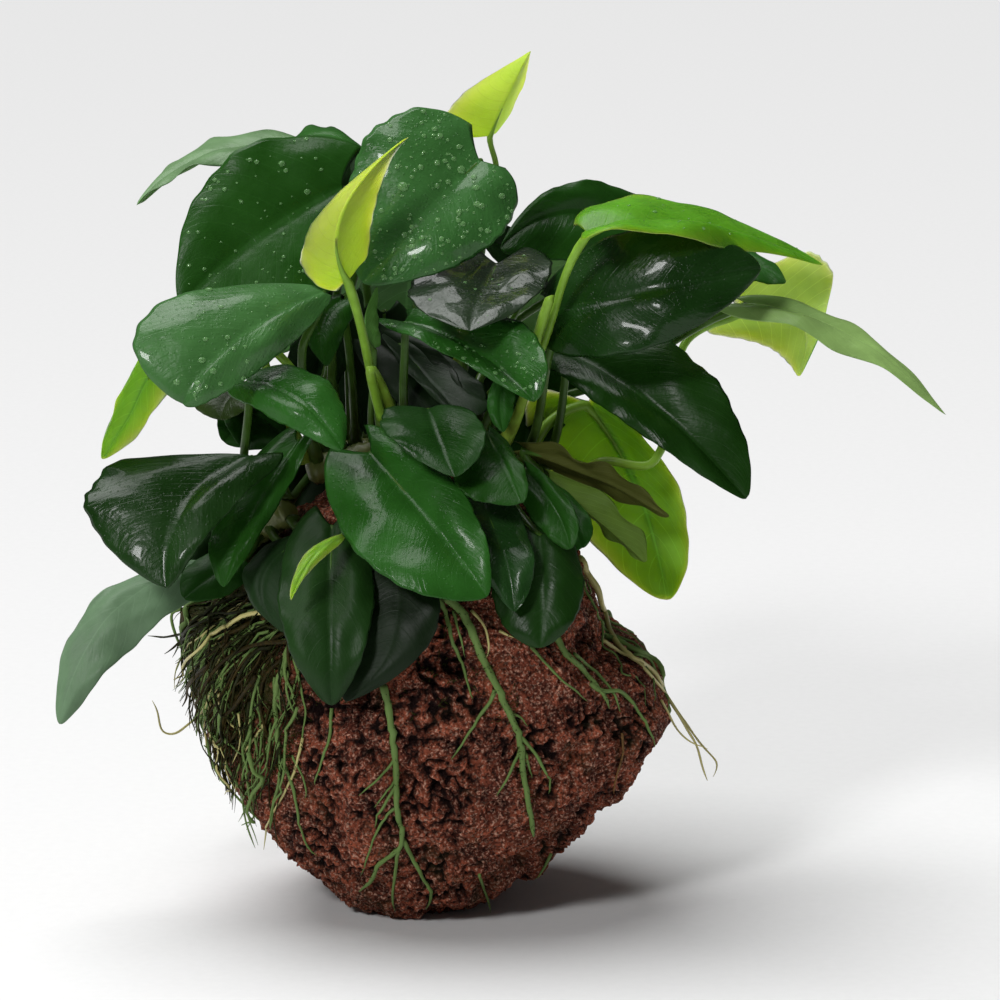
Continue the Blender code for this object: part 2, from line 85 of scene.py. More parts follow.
# Blades
WIDEST = 0.4
LOBE_BACK = 0.12
STEM_RADIUS = 1.3 * MM
STEM_GAP = 0.6 * MM
BLADE_ROWS = 60
BLADE_COLUMNS = 28  # on each of the two sides
SWELL = 0.9 * MM
SWELL_SPACING = 11 * MM
STEM_SIDES = 14
VEINS = 10  # side veins on each half
VEIN_SWEEP = 0.30  # how far a side vein runs ahead on its way to the edge

RHIZOME_RADIUS = 4.4 * MM
RHIZOME_LIFT = 1.6 * MM
RHIZOMES = {  # mm to the right and back of the foot's middle, first end and second end
    "left": ((-32, -6), (2, 0)),
    "right": ((9, -4), (46, 10)),
    "back": ((-30, 24), (22, 28)),
    "low": ((-54, -8), (-36, -18)),
}

# Stone
STONE_HEART_PX = (435, 690)
STONE_DEPTH = 54 * MM
STONE_ROUND_RADIUS = 66 * MM
STONE_LUMP = 3.0 * MM
STONE_PIT = 4.0 * MM
STONE_CRAG = 1.4 * MM
OPEN_HEART = Vector((0.010, -0.055, 0.062))  # where the stone is most porous
CRAG_SPACING = 9 * MM
LUMP_SCALE, SMALL_LUMP_SCALE, PIT_SCALE = 2.2, 5.1, 6.3
PIT_FLOOR = 0.2
STONE_OUTLINE_PX = (
    (668, 700), (642, 652), (604, 628), (594, 598), (585, 566), (572, 541), (540, 508),
    (490, 480), (420, 466), (355, 474), (290, 504), (228, 562), (184, 602), (184, 642),
    (193, 695), (218, 750), (250, 806), (290, 852), (338, 893), (392, 916), (440, 916),
    (500, 892), (560, 850), (604, 806), (646, 752), (672, 716),
)


class Leaf(NamedTuple):
    """A leaf by five places, each as u, v and depth: its midrib's ends and middle, and the
    edges where it is widest, left and right as its upper side shows them with the tip ahead."""

    name: str
    base: tuple
    middle: tuple
    tip: tuple
    left: tuple
    right: tuple
    rhizome: str
    along: float
    via: tuple = ()
    age: str = "mature"
    arch: float = 2.0
    lobes: tuple = (1.0, 1.0)  # how far the blade reaches back, left and right of its stem
    taper: float = 0.38  # larger where the blade starts narrow
    drawn: float = 0.25
    stem: float = 1.0
    wave: float = 0.7  # mm that the margin waves up and down
    wet: float = 0.3
    upper: str = ""  # colour of its own, when its age's colour isn't the one; lighter by painted sheen on a few lit leaves, darker by painted shade on a few leaves in shade
    under: str = ""
    drops: int = 0


LEAVES = (
    # Crown, left
    Leaf("leaf_crown_left", (343, 187, 12), (254, 240, 2), (180, 306, -10), (322, 296, -6),
         (226, 160, 12), "left", 0.32, lobes=(1.0, 1.5), drops=90, wave=1.0),
    # Its own upper colour is lighter by painted sheen on its top
    Leaf("leaf_crown_wet", (480, 160, 0), (425, 214, -10), (362, 283, -17), (494, 242, -12),
         (369, 134, 0), "right", 0.0, via=((472, 310, 11),), lobes=(0.5, 1.2), wet=0.8,
         upper="#33602c", drops=230),
    # Its own upper colour is lighter and greyer by painted sheen
    Leaf("leaf_far_left_high", (318, 150, 40), (228, 150, 38), (137, 205, 20), (222, 162, 20),
         (232, 137, 52), "back", 0.12, age="middle", wave=1.2, upper="#64845a"),
    Leaf("leaf_back_left", (372, 166, 56), (334, 136, 64), (286, 150, 70), (328, 153, 50),
         (332, 127, 76), "back", 0.4, age="middle", arch=1),
    Leaf("young_leaf_front", (347, 281, -34), (342, 212, -39), (409, 137, -26), (373, 218, -27),
         (303, 243, -32), "left", 0.8, via=((372, 370, -26), (381, 416, -14)), age="young",
         arch=-0.5, lobes=(-0.6, 0.3), drawn=0.85, stem=1.1, wave=0.9),
    Leaf("young_leaf_top", (489, 136, 24), (509, 92, 20), (531, 51, 26), (519, 96, 34),
         (447, 111, 28), "back", 0.78, via=((496, 172, 26),), age="young", arch=-1,
         lobes=(-0.3, -0.5), drawn=0.8, stem=0.7),
    # Its own upper colour is lighter by painted grey sheen
    Leaf("leaf_left_wet", (324, 292, -20), (234, 342, -42), (183, 404, -50), (264, 366, -40),
         (160, 304, -34), "left", 0.1, via=((302, 352, -22),), age="middle", lobes=(0.2, 0.2),
         taper=0.55, wet=0.7, drops=50, upper="#3c6834"),
    Leaf("leaf_left_hanging", (166, 342, -22), (135, 400, -27), (102, 459, -30),
         (124, 388, -36), (162, 402, -20), "left", 0.0, via=((262, 348, -14), (296, 386, -10)),
         age="fresh"),
    # Left flank
    Leaf("leaf_front_small", (246, 381, -30), (300, 402, -44), (342, 450, -52), (322, 377, -34),
         (270, 417, -44), "low", 0.58, age="middle", wet=0.5),
    Leaf("leaf_left_heart", (252, 456, -29), (184, 508, -44), (166, 588, -56), (232, 508, -46),
         (92, 482, -34), "low", 0.1, via=((224, 478, -21),), lobes=(0.8, -0.6), wet=0.6, upper="#142f0c"),
    Leaf("leaf_left_narrow", (298, 441, -22), (250, 517, -36), (224, 587, -49), (284, 494, -32),
         (222, 500, -28), "low", 0.84, arch=1),
    # Its own grey-green colour is partly painted sheen
    Leaf("leaf_lowest_left", (184, 570, -24), (100, 622, -36), (55, 724, -46), (142, 634, -36),
         (90, 600, -28), "low", 0.25, age="olive", arch=1, upper="#5c7659", under="#5c7659", wave=1.4, wet=0.1),
    Leaf("leaf_left_under", (268, 384, 0), (232, 396, -8), (222, 420, -14), (262, 402, -14),
         (198, 397, -2), "back", 0.0, age="olive", arch=1),
    Leaf("leaf_left_shade", (272, 426, 0), (254, 427, -8), (244, 449, -16), (280, 442, -12),
         (226, 412, 0), "low", 0.95, arch=1, wet=0.0),
    Leaf("leaf_low_shade", (244, 560, -24), (214, 574, -30), (184, 598, -36), (228, 594, -32),
         (194, 560, -26), "low", 0.45, arch=1, wet=0.0),
    # Front
    Leaf("leaf_front_centre", (370, 452, -26), (436, 528, -50), (487, 597, -64),
         (458, 485, -44), (361, 557, -59), "left", 0.92, age="middle", wet=0.42),
    Leaf("leaf_front_low", (332, 526, -36), (330, 616, -60), (332, 706, -68), (374, 598, -56),
         (278, 598, -55), "low", 1.0, upper="#17330f", wet=0.12),
    Leaf("young_leaf_low", (345, 534, -48), (314, 556, -62), (291, 600, -66), (317, 564, -62),
         (308, 551, -60), "left", 0.5, via=((366, 505, -32),), age="young", arch=0.6,
         lobes=(0, 0), stem=0.7, upper="#7fae3e"),
    # Its own near-black upper colour is painted shade
    Leaf("leaf_front_behind", (392, 560, -46), (392, 640, -60), (346, 702, -62),
         (439, 620, -59), (352, 612, -50), "left", 0.7, via=((397, 505, -34),), arch=1, upper="#0e2009", wet=0.0),
    # Its own dark upper colour is painted shade
    Leaf("leaf_front_shade", (290, 545, -32), (262, 586, -40), (282, 632, -46), (302, 590, -42),
         (244, 572, -34), "low", 0.68, arch=1, upper="#15300f", wet=0.0),
    Leaf("leaf_front_right_low", (540, 536, -42), (542, 598, -54), (540, 648, -60),
         (584, 588, -50), (493, 596, -50), "right", 0.32, wave=1.2, upper="#16340c", wet=0.22),
    Leaf("leaf_front_right_mid", (480, 496, -32), (504, 556, -51), (514, 612, -60),
         (531, 540, -48), (462, 530, -46), "right", 0.18, arch=1, wave=1.0, upper="#1b3a16", wet=0.5),
    Leaf("leaf_front_right_high", (487, 432, -28), (506, 468, -42), (521, 503, -52),
         (523, 466, -42), (456, 484, -46), "right", 0.08, arch=1),
    Leaf("leaf_front_right_side", (526, 470, -30), (556, 510, -40), (570, 549, -48),
         (571, 503, -42), (531, 517, -40), "right", 0.5, arch=1),
    Leaf("leaf_front_right_back", (542, 484, -14), (568, 515, -28), (582, 548, -36),
         (587, 512, -28), (540, 534, -28), "right", 0.66, age="middle", arch=1),
    # Its own dark upper colour is painted shade
    Leaf("leaf_centre_flat", (428, 409, -26), (440, 442, -41), (455, 477, -54), (485, 428, -46),
         (382, 428, -38), "left", 1.0, arch=1, lobes=(0.2, 0.2), upper="#173a0f"),
    Leaf("leaf_centre_wet", (497, 263, -4), (480, 302, -24), (470, 331, -38), (548, 282, -16),
         (408, 286, -18), "right", 0.28, arch=1.2, lobes=(1.2, 1.2), wet=1.0, upper="#1e2c1b", drops=12),
    Leaf("leaf_centre_drops", (404, 322, -6), (474, 350, -24), (534, 402, -40), (520, 322, -24),
         (430, 346, -26), "left", 0.9, age="middle", wet=0.9, drops=90),
    # Its own near-black upper colour is painted shade
    Leaf("leaf_centre_shade", (400, 345, 12), (432, 382, 0), (460, 418, -16), (484, 388, -4),
         (402, 366, 2), "back", 0.5, arch=1, upper="#10240c", wet=0.0),
    Leaf("leaf_centre_small", (504, 378, -8), (500, 404, -12), (503, 432, -18), (515, 400, -10),
         (487, 402, -12), "right", 0.2, age="middle", arch=1),
    Leaf("young_leaf_rolled", (374, 348, -10), (366, 322, -14), (377, 287, -12),
         (379, 326, -11), (364, 330, -10), "left", 0.6, age="middle", arch=0, lobes=(0, 0),
         stem=0.7),
    Leaf("leaf_inner_left", (342, 300, -2), (322, 326, -8), (326, 366, -14), (348, 326, -8),
         (304, 316, -4), "back", 0.22, arch=1),
    # Right
    Leaf("leaf_right_dark", (557, 310, -15), (660, 288, -29), (761, 269, -22), (645, 229, -18),
         (634, 353, -34), "right", 0.56, via=((549, 354, -10),), lobes=(0.8, 0.8), wet=0.6, upper="#12300a"),
    Leaf("leaf_right_hanging", (566, 352, 2), (652, 404, -18), (746, 499, -30), (694, 358, -12),
         (612, 414, -22), "right", 0.74, wave=1.0, upper="#153609"),
    Leaf("leaf_right_pale", (586, 232, -30), (692, 222, -20), (823, 265, -2), (646, 199, -4),
         (652, 235, -36), "right", 0.36, via=((549, 300, -28), (532, 368, -16)), age="fresh",
         lobes=(0.2, 0.0), drops=24),
    Leaf("leaf_right_underside", (587, 402, 14), (640, 492, 18), (667, 600, 6), (548, 484, 22),
         (677, 486, 6), "right", 0.62, via=((548, 424, 8),), age="fresh", stem=1.25,
         under="#5f8a30"),
    Leaf("leaf_right_olive", (524, 448, -4), (592, 474, -8), (669, 516, -12), (588, 488, -2),
         (592, 460, -12), "right", 0.7, age="olive", arch=0.5, wave=1.5, upper="#474c1f", under="#474c1f"),
    Leaf("leaf_right_olive_low", (548, 478, -6), (598, 518, -12), (645, 562, -16),
         (590, 522, -6), (618, 507, -14), "right", 0.9, age="olive", arch=0.5, wave=1.6, upper="#56702a", under="#56702a"),
    Leaf("leaf_far_right_underside", (738, 314, 20), (800, 322, 14), (801, 375, 6),
         (764, 346, 18), (822, 256, 12), "right", 0.96,
         via=((600, 462, 0), (655, 460, -2), (684, 345, 14)), age="fresh", under="#a0c266"),
    # Its own upper colour is pale grey-green by painted sheen
    Leaf("leaf_far_right_twisted", (745, 303, -8), (850, 334, -14), (946, 415, -22),
         (827, 314, -4), (813, 337, -20), "back", 1.0, via=((610, 380, 16),), age="middle",
         arch=1.5, drawn=0.7, wave=1.6, upper="#7f9f5a"),
    Leaf("leaf_right_tip", (700, 252, 12), (745, 258, 8), (786, 282, 2), (744, 246, 16),
         (734, 278, 2), "back", 0.92, age="middle", arch=1),
    Leaf("leaf_back_right", (650, 226, 34), (562, 212, 24), (500, 248, 12), (592, 262, 18),
         (582, 181, 30), "back", 0.68),
    # Behind, out of the photograph's sight
    Leaf("leaf_behind_left", (330, 250, 60), (262, 292, 76), (214, 372, 84), (262, 250, 66),
         (316, 330, 82), "back", 0.05, arch=1),
    Leaf("leaf_behind_middle", (420, 240, 62), (408, 290, 84), (404, 366, 96), (340, 290, 76),
         (470, 290, 78), "back", 0.55, arch=1),
    Leaf("leaf_behind_right", (520, 270, 56), (556, 310, 76), (580, 390, 88), (504, 326, 80),
         (600, 280, 66), "back", 0.85, age="middle", arch=1),
    Leaf("leaf_behind_low_left", (362, 338, 56), (357, 400, 50), (350, 462, 46), (404, 392, 50),
         (318, 398, 52), "back", 0.3, arch=1, wet=0.0, upper="#10260b"),
    Leaf("leaf_behind_low_middle", (440, 390, 66), (452, 450, 82), (456, 526, 88),
         (394, 450, 78), (506, 446, 76), "back", 0.6, age="middle", arch=1),
    Leaf("leaf_behind_low_right", (540, 404, 50), (592, 444, 60), (622, 512, 64),
         (560, 464, 66), (622, 420, 54), "back", 0.96, arch=1),
)


INNER_LEAVES = (  # dark leaves between the stems that have no solid of their own; most are near-black, which is painted shade for the inside of the plant
    Leaf("inner_leaf_stems", (345, 296, 34), (324, 352, 32), (306, 416, 24), (354, 352, 30),
         (290, 348, 28), "back", 0.2, arch=1, upper="#122a0c", wet=0.0),
    Leaf("inner_leaf_middle", (384, 312, 40), (384, 378, 36), (382, 446, 26), (424, 376, 34),
         (346, 378, 34), "back", 0.45, arch=1, upper="#10260b", wet=0.0),
    Leaf("inner_leaf_deep", (455, 322, 38), (462, 388, 34), (458, 452, 24), (508, 386, 30),
         (414, 386, 32), "back", 0.6, arch=1, upper="#0f220a", wet=0.0),
    Leaf("inner_leaf_front", (370, 336, 22), (418, 374, 8), (462, 419, -8), (440, 352, 6),
         (394, 400, 4), "left", 0.7, arch=1, upper="#0c1c08", wet=0.0),
    Leaf("inner_leaf_left", (294, 384, 12), (256, 410, 6), (224, 442, 0), (286, 436, 4),
         (232, 390, 4), "left", 0.3, arch=1, upper="#1c4410"),
    Leaf("inner_leaf_low", (330, 446, 18), (304, 492, 12), (282, 548, 4), (340, 500, 10),
         (266, 482, 10), "low", 0.8, arch=1, upper="#10260b", wet=0.0),
    Leaf("inner_leaf_low_left", (262, 486, -6), (226, 536, -12), (196, 580, -18),
         (262, 556, -12), (204, 520, -12), "low", 0.6, arch=1, upper="#122a0c", wet=0.0),
    Leaf("inner_leaf_crown", (362, 236, 36), (353, 192, 38), (350, 150, 42), (336, 192, 38),
         (372, 192, 38), "left", 0.2, arch=0.5, upper="#122a0c", wet=0.0),
    Leaf("inner_leaf_back", (542, 270, 36), (510, 250, 34), (480, 236, 34), (512, 274, 32),
         (508, 226, 34), "right", 0.1, arch=0.5, upper="#12300a", wet=0.0),
    Leaf("inner_leaf_right", (548, 356, 26), (532, 408, 22), (522, 462, 12), (572, 408, 22),
         (496, 406, 18), "right", 0.7, arch=1, upper="#183a0c"),
)


class Root(NamedTuple):
    """A root by the pixels that it passes on the stone, and its radii in mm."""

    path: tuple
    start: float
    end: float
    colour: str = "root"
    node: str = ""  # the solid that it stands for


ROOTS = (
    Root(((384, 686), (391, 720), (396, 756), (396, 785), (397, 810), (404, 831), (401, 846),
          (394, 853), (381, 858), (374, 875), (359, 888)), 1.15, 0.55, node="root_front"),
    Root(((403, 838), (410, 851), (422, 875), (431, 892), (428, 908)), 0.75, 0.4,
         node="root_front"),
    Root(((399, 848), (394, 882), (393, 909)), 0.6, 0.3, node="root_front"),
    Root(((396, 756), (391, 765), (376, 780), (359, 795)), 0.5, 0.2, node="root_front"),
    Root(((396, 775), (393, 785), (374, 807)), 0.45, 0.2, node="root_front"),
    Root(((397, 785), (388, 797), (376, 827)), 0.6, 0.25, node="root_front"),
    Root(((398, 806), (386, 814), (371, 846), (362, 875)), 0.5, 0.2, node="root_front"),
    Root(((445, 598), (463, 616), (479, 652), (494, 682), (504, 705), (514, 728), (521, 754),
          (522, 769), (527, 797), (531, 835)), 1.3, 0.75, node="root_thick"),
    Root(((494, 690), (491, 700), (479, 716), (466, 736), (451, 759)), 0.65, 0.25,
         node="root_thick"),
    Root(((506, 712), (514, 715), (522, 716), (526, 728)), 0.5, 0.2, node="root_thick"),
    Root(((516, 734), (522, 738), (535, 754), (545, 772), (549, 792)), 0.7, 0.3,
         node="root_thick"),
    Root(((520, 745), (519, 752), (507, 777), (496, 795)), 0.6, 0.25, node="root_thick"),
    Root(((524, 752), (527, 761), (531, 779)), 0.5, 0.25, node="root_thick"),
    Root(((437, 598), (443, 606), (451, 636), (463, 667), (472, 698)), 0.75, 0.3,
         node="root_thin"),
    Root(((453, 611), (466, 657)), 0.5, 0.2, node="root_thin"),
    Root(((553, 634), (565, 654), (578, 667), (596, 688), (604, 700), (607, 708)), 1.1, 0.5,
         node="root_right"),
    Root(((590, 684), (599, 692), (619, 691), (632, 703), (644, 726), (655, 744)), 0.75, 0.35,
         node="root_right"),
    Root(((573, 654), (588, 667), (609, 688), (620, 711)), 0.6, 0.3, node="root_right"),
    Root(((530, 647), (548, 667), (563, 682), (586, 700)), 0.5, 0.25, node="root_right"),
    Root(((578, 560), (588, 575), (599, 591), (602, 611), (607, 631), (617, 648), (637, 662),
          (652, 672), (663, 690)), 1.15, 0.6, "pale_root", "root_pale"),
    Root(((300, 622), (284, 668), (277, 700), (280, 740), (282, 770), (276, 800), (273, 830)),
         1.0, 0.4, node="root_left"),
    Root(((281, 755), (285, 762), (295, 790), (305, 840), (318, 855)), 0.6, 0.25,
         node="root_left"),
    Root(((280, 696), (272, 715), (262, 740), (262, 790)), 0.55, 0.25, node="root_left"),
    Root(((270, 610), (235, 620), (215, 640), (206, 662), (205, 690), (214, 730), (230, 766),
          (254, 798)), 1.0, 0.35, node="root_far_left"),
    Root(((214, 645), (220, 668), (224, 690), (236, 718), (246, 742)), 0.55, 0.2,
         node="root_far_left"),
    Root(((471, 611), (484, 626), (489, 647), (487, 659)), 0.5, 0.25, "pale_root"),
    Root(((499, 631), (513, 639)), 0.5, 0.3, "pale_root"),
    Root(((600, 640), (619, 653), (637, 662), (650, 677), (665, 695), (678, 713), (695, 744),
          (708, 782)), 0.6, 0.3, "pale_root"),
    Root(((640, 664), (652, 672), (675, 708), (701, 744), (718, 764), (713, 777)), 0.55, 0.25,
         "pale_root"),
    Root(((660, 700), (676, 728), (690, 742), (706, 748)), 0.4, 0.2, "pale_root"),
    Root(((621, 733), (621, 754), (614, 784), (613, 795)), 0.4, 0.25, "dry_root"),
    Root(((550, 853), (542, 869), (535, 878)), 0.5, 0.25),
    Root(((479, 874), (486, 894), (491, 912)), 0.5, 0.25),
    Root(((333, 708), (330, 740), (322, 762), (315, 785)), 0.6, 0.25),
    Root(((293, 755), (305, 780), (308, 800)), 0.4, 0.2),
    Root(((270, 606), (235, 617), (215, 625), (195, 635), (178, 643), (165, 655)), 0.8, 0.3,
         "dark_root"),
    Root(((200, 628), (175, 636), (160, 637), (150, 636)), 0.5, 0.25, "dark_root"),
    Root(((186, 600), (172, 610), (172, 625), (185, 655), (193, 668)), 0.6, 0.3),
    Root(((240, 615), (222, 625), (205, 640), (197, 660), (193, 700)), 0.55, 0.25),
    Root(((224, 670), (220, 690), (222, 708), (232, 724), (245, 732), (251, 722), (250, 705)),
         0.5, 0.3, "pale_root"),
    Root(((222, 685), (212, 700), (200, 715), (185, 727), (172, 735), (162, 732), (158, 714),
          (152, 700)), 0.5, 0.25, "pale_root"),
    Root(((203, 700), (203, 720), (213, 765), (230, 790), (248, 808), (262, 820)), 0.6, 0.3),
    Root(((250, 640), (246, 680), (262, 716), (268, 760), (262, 800)), 0.5, 0.2),
    Root(((290, 640), (300, 680), (306, 720), (300, 750)), 0.5, 0.2),
)

TANGLE_STRANDS = 170


class Flow(NamedTuple):
    """Fine roots that start in one area of the picture and run the same way, in degrees."""

    share: float
    across: tuple
    down: tuple
    start: float
    end: float
    steps: int
    curl: float = 1.0


TANGLE_FLOWS = (
    Flow(0.42, (222, 318), (592, 650), 150, 100, 30),
    Flow(0.38, (206, 305), (640, 745), 112, 90, 28),
    Flow(0.20, (196, 300), (610, 760), 120, 60, 12, curl=2.6),
)
BACK_STRANDS = 46
MOSS_TUFTS = 260
ROOT_HAIRS = 420

DROPS_PX = {  # larger drops by their pixels, with radii in mm
    "leaf_crown_wet": (
        (440, 136, 0.9), (459, 147, 0.8), (390, 140, 0.8), (424, 136, 0.7), (437, 163, 0.9),
        (461, 170, 1.3), (448, 182, 0.8), (403, 187, 1.5), (437, 186, 0.8), (397, 167, 0.8),
        (477, 204, 0.9), (459, 212, 0.8), (412, 227, 0.8), (422, 238, 0.8), (463, 224, 0.8),
    ),
    "leaf_left_wet": ((209, 290, 1.0),),
    "leaf_crown_left": ((215, 180, 0.7), (228, 172, 0.6), (250, 160, 0.7), (206, 200, 0.6)),
}


def linear(code):
    """An sRGB hex colour as linear red, green, blue and alpha."""
    parts = [int(code[k:k + 2], 16) / 255 for k in (1, 3, 5)]
    return (*(p / 12.92 if p <= 0.04045 else ((p + 0.055) / 1.055) ** 2.4 for p in parts), 1.0)


def colour_property(name, code, description):
    return FloatVectorProperty(
        name=name, description=description, subtype="COLOR", size=4, min=0, max=1,
        default=linear(code),
    )


class PlantColours(bpy.types.PropertyGroup):
    """Colours that a user would change."""

    mature: colour_property("Mature leaf", "#1c4410", "Upper side of a full-grown leaf")
    middle: colour_property("Middle leaf", "#25551a", "Upper side of a leaf in its second year")
    fresh: colour_property("Fresh leaf", "#4f8a1a", "Upper side of a leaf of this season")
    young: colour_property("Young leaf", "#b8e648", "Either side of a leaf that just opened")
    olive: colour_property("Olive leaf", "#2b3d14", "Upper side of an old, shaded leaf")
    mature_under: colour_property("Mature underside", "#3c6330", "Lower side of such a leaf")
    middle_under: colour_property("Middle underside", "#4d7a35", "Lower side of such a leaf")
    fresh_under: colour_property("Fresh underside", "#78a945", "Lower side of such a leaf")
    olive_under: colour_property("Olive underside", "#3a4a1c", "Lower side of such a leaf")
    stem: colour_property("Stem", "#39591a", "Round stems of full-grown leaves")
    young_stem: colour_property("Young stem", "#749c30", "Round stems of young leaves")
    rhizome: colour_property("Rhizome", "#5c6a2a", "Creeping stems on the stone")
    root: colour_property("Root", "#1f380a", "Living roots, green where light reaches them")
    pale_root: colour_property("Pale root", "#a89c60", "Roots that grew in shade")
    dark_root: colour_property("Dark root", "#20240c", "Old roots")
    brown_root: colour_property("Brown root", "#2e2810", "Roots with a coat of old algae")
    dry_root: colour_property("Dry root", "#6b5232", "Dead, brown roots")
    moss: colour_property("Moss", "#2c3510", "Tufts between the roots")
    stone: colour_property("Stone", "#9a5944", "Lit faces of the lava stone")
    # Painted highlights: pale specks on the stone's peaks
    grain: colour_property("Stone grains", "#d8a68e", "Light grains that stand off the stone")
    # Painted shade: near-black colour laid into the stone's pores and cracks
    hollow: colour_property("Stone hollows", "#140605", "Pores and hollows of the stone")


class PlantSizes(bpy.types.PropertyGroup):
    """Sizes that a user would change."""

    blade: FloatProperty(name="Blade thickness", description="Thickness of a leaf's blade",
                         default=0.55 * MM, min=0.2 * MM, max=0.9 * MM, unit="LENGTH",
                         precision=5)
    vein: FloatProperty(name="Vein depth", description="How deep side veins lie in the blade",
                        default=0.06 * MM, min=0, max=0.6 * MM, unit="LENGTH", precision=5)
    groove: FloatProperty(name="Midrib groove", description="Depth of the channel on the midrib",
                          default=0.1 * MM, min=0, max=1.2 * MM, unit="LENGTH", precision=5)
    pore: FloatProperty(name="Pore spacing", description="Distance between the stone's pores",
                        default=3.2 * MM, min=1.5 * MM, max=12 * MM, unit="LENGTH", precision=5)
    strands: IntProperty(name="Fine roots", description="Fine roots in the tangle on the left",
                         default=TANGLE_STRANDS, min=0, max=400)
    tufts: IntProperty(name="Moss tufts", description="Tufts of moss between the roots",
                       default=MOSS_TUFTS, min=0, max=600)


# Places

def sight_line(u, v):
    """The lens and the direction in which it sees pixel (u, v)."""
    tilt_cos, tilt_sin = math.cos(VIEW_TILT), math.sin(VIEW_TILT)
    ahead = np.array((0, tilt_cos, -tilt_sin))
    up = np.array((0, tilt_sin, tilt_cos))
    ray = ahead * VIEW_DISTANCE + np.array((1, 0, 0)) * (u - CENTRE_PX[0]) * PIXEL
    return view_target() - ahead * VIEW_DISTANCE, ray - up * (v - CENTRE_PX[1]) * PIXEL


def view_target():
    return np.array((
        (CENTRE_PX[0] - FOOT_PX[0]) * PIXEL, 0,
        (FOOT_PX[1] - CENTRE_PX[1]) * PIXEL / math.cos(VIEW_TILT),
    ))


def seen(u, v, depth_mm):
    """The point that the photograph shows at pixel (u, v), depth_mm behind the stone's middle."""
    eye, ray = sight_line(u, v)
    return eye + ray * ((depth_mm * MM - eye[1]) / ray[1])


def seeded(name):
    return np.random.default_rng(zlib.crc32(name.encode()))


def unit(vectors):
    return vectors / np.maximum(np.linalg.norm(vectors, axis=-1, keepdims=True), 1e-12)


def bezier(p0, p1, p2, p3, count):
    t = np.linspace(0, 1, count + 1)[:, None]
    return p0 * (1 - t)**3 + p1 * 3 * t * (1 - t)**2 + p2 * 3 * t**2 * (1 - t) + p3 * t**3


def smooth_line(stops, step):
    """A soft curve through the stops, with a place about every step."""
    stops = np.asarray(stops, float)
    padded = np.vstack([2 * stops[0] - stops[1], stops, 2 * stops[-1] - stops[-2]])
    line = [stops[0]]
    for a, b, c, d in zip(padded, padded[1:], padded[2:], padded[3:]):
        count = max(1, round(np.linalg.norm(c - b) / step))
        t = np.linspace(0, 1, count + 1)[1:, None]
        line += list(0.5 * (
            2 * b + (c - a) * t + (2 * a - 5 * b + 4 * c - d) * t**2
            + (3 * b - a - 3 * c + d) * t**3
        ))
    return np.array(line)


# Skins

def skin(work, places, slots=None, **values):
    """A closed skin over places, rows by steps around; the last step meets the first one.

    slots gives each step's material; values hold one number for each place."""
    rows, around = places.shape[0] - 1, places.shape[1] - 1
    part = bmesh.new()
    layers = {name: part.verts.layers.float.new(name) for name in sorted(values)}
    layers = {name: part.verts.layers.float[name] for name in layers}
    spot = {}
    for vert in bmesh.ops.create_grid(part, x_segments=rows, y_segments=around, size=0.5)["verts"]:
        row = round((vert.co.x + 0.5) * rows)
        step = round((0.5 - vert.co.y) * around)
        spot[vert] = step
        vert.co = places[row, step]
        for name, layer in layers.items():
            vert[layer] = values[name][row, step]
    for face in part.faces:
        face.smooth = True
        if slots is not None:
            face.material_index = int(slots[min(spot[vert] for vert in face.verts)])
    bmesh.ops.remove_doubles(part, verts=part.verts[:], dist=2e-6)
    add_part(work, part)


def add_part(work, part):
    """Joins a small bmesh to a larger one, whose size would slow each of its operators."""
    mesh = bpy.data.meshes.new("part")
    part.to_mesh(mesh)
    part.free()
    work.from_mesh(mesh)
    bpy.data.meshes.remove(mesh)


def rod_places(line, radii, sides, swell=None):
    """Rings about a line, each end closed by a ring of no size."""
    line = np.asarray(line, float)
    radii = np.asarray(radii, float)
    ahead = unit(np.gradient(line, axis=0))
    side = np.cross(ahead[0], (0.3, 0.2, 0.93))
    rings = []
    turn = np.linspace(0, 2 * math.pi, sides + 1)
    for k, (place, way) in enumerate(zip(line, ahead)):
        side = unit(side - way * side.dot(way))
        other = np.cross(way, side)
        size = radii[k] * (1 if swell is None else swell[k][:, None])
        rings.append(place + size * (np.cos(turn)[:, None] * side + np.sin(turn)[:, None] * other))
    first, last = np.repeat(line[:1], sides + 1, 0), np.repeat(line[-1:], sides + 1, 0)
    return np.array([first, *rings, last])


def add_rod(work, line, radii, sides, slot=0, swell=None, tint=None):
    places = rod_places(line, radii, sides, swell)
    share = np.linspace(0, 1, len(places))[:, None] * np.ones(places.shape[1])
    values = {"along": share, "across": np.zeros_like(share)}
    if tint is not None:
        values["tint"] = np.full_like(share, tint)
    skin(work, places, np.full(sides, slot), **values)


def finish_piece(work, name, materials, nodes=()):
    """Makes the bmesh an object that rides on the plant and stands for the given nodes."""
    bmesh.ops.recalc_face_normals(work, faces=work.faces[:])
    mesh = bpy.data.meshes.new(name)
    work.to_mesh(mesh)
    work.free()
    piece = bpy.data.objects.new(name, mesh)
    bpy.context.scene.collection.objects.link(piece)
    for material in materials:
        mesh.materials.append(material)
    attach(piece, BODY)
    if nodes:
        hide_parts(*nodes)
    return piece


def surface_of(obj):
    mesh = obj.data
    places = [vert.co for vert in mesh.vertices]
    return BVHTree.FromPolygons(places, [list(face.vertices) for face in mesh.polygons])


# Blades and stems

def fullness(share, leaf):
    """The outline's half width along an anubias blade: round behind, drawn out to the tip."""
    drawn = leaf.drawn
    return (share + 0.01)**leaf.taper * np.maximum(1 - share, 0)**0.6 * (1 - drawn * share**4)


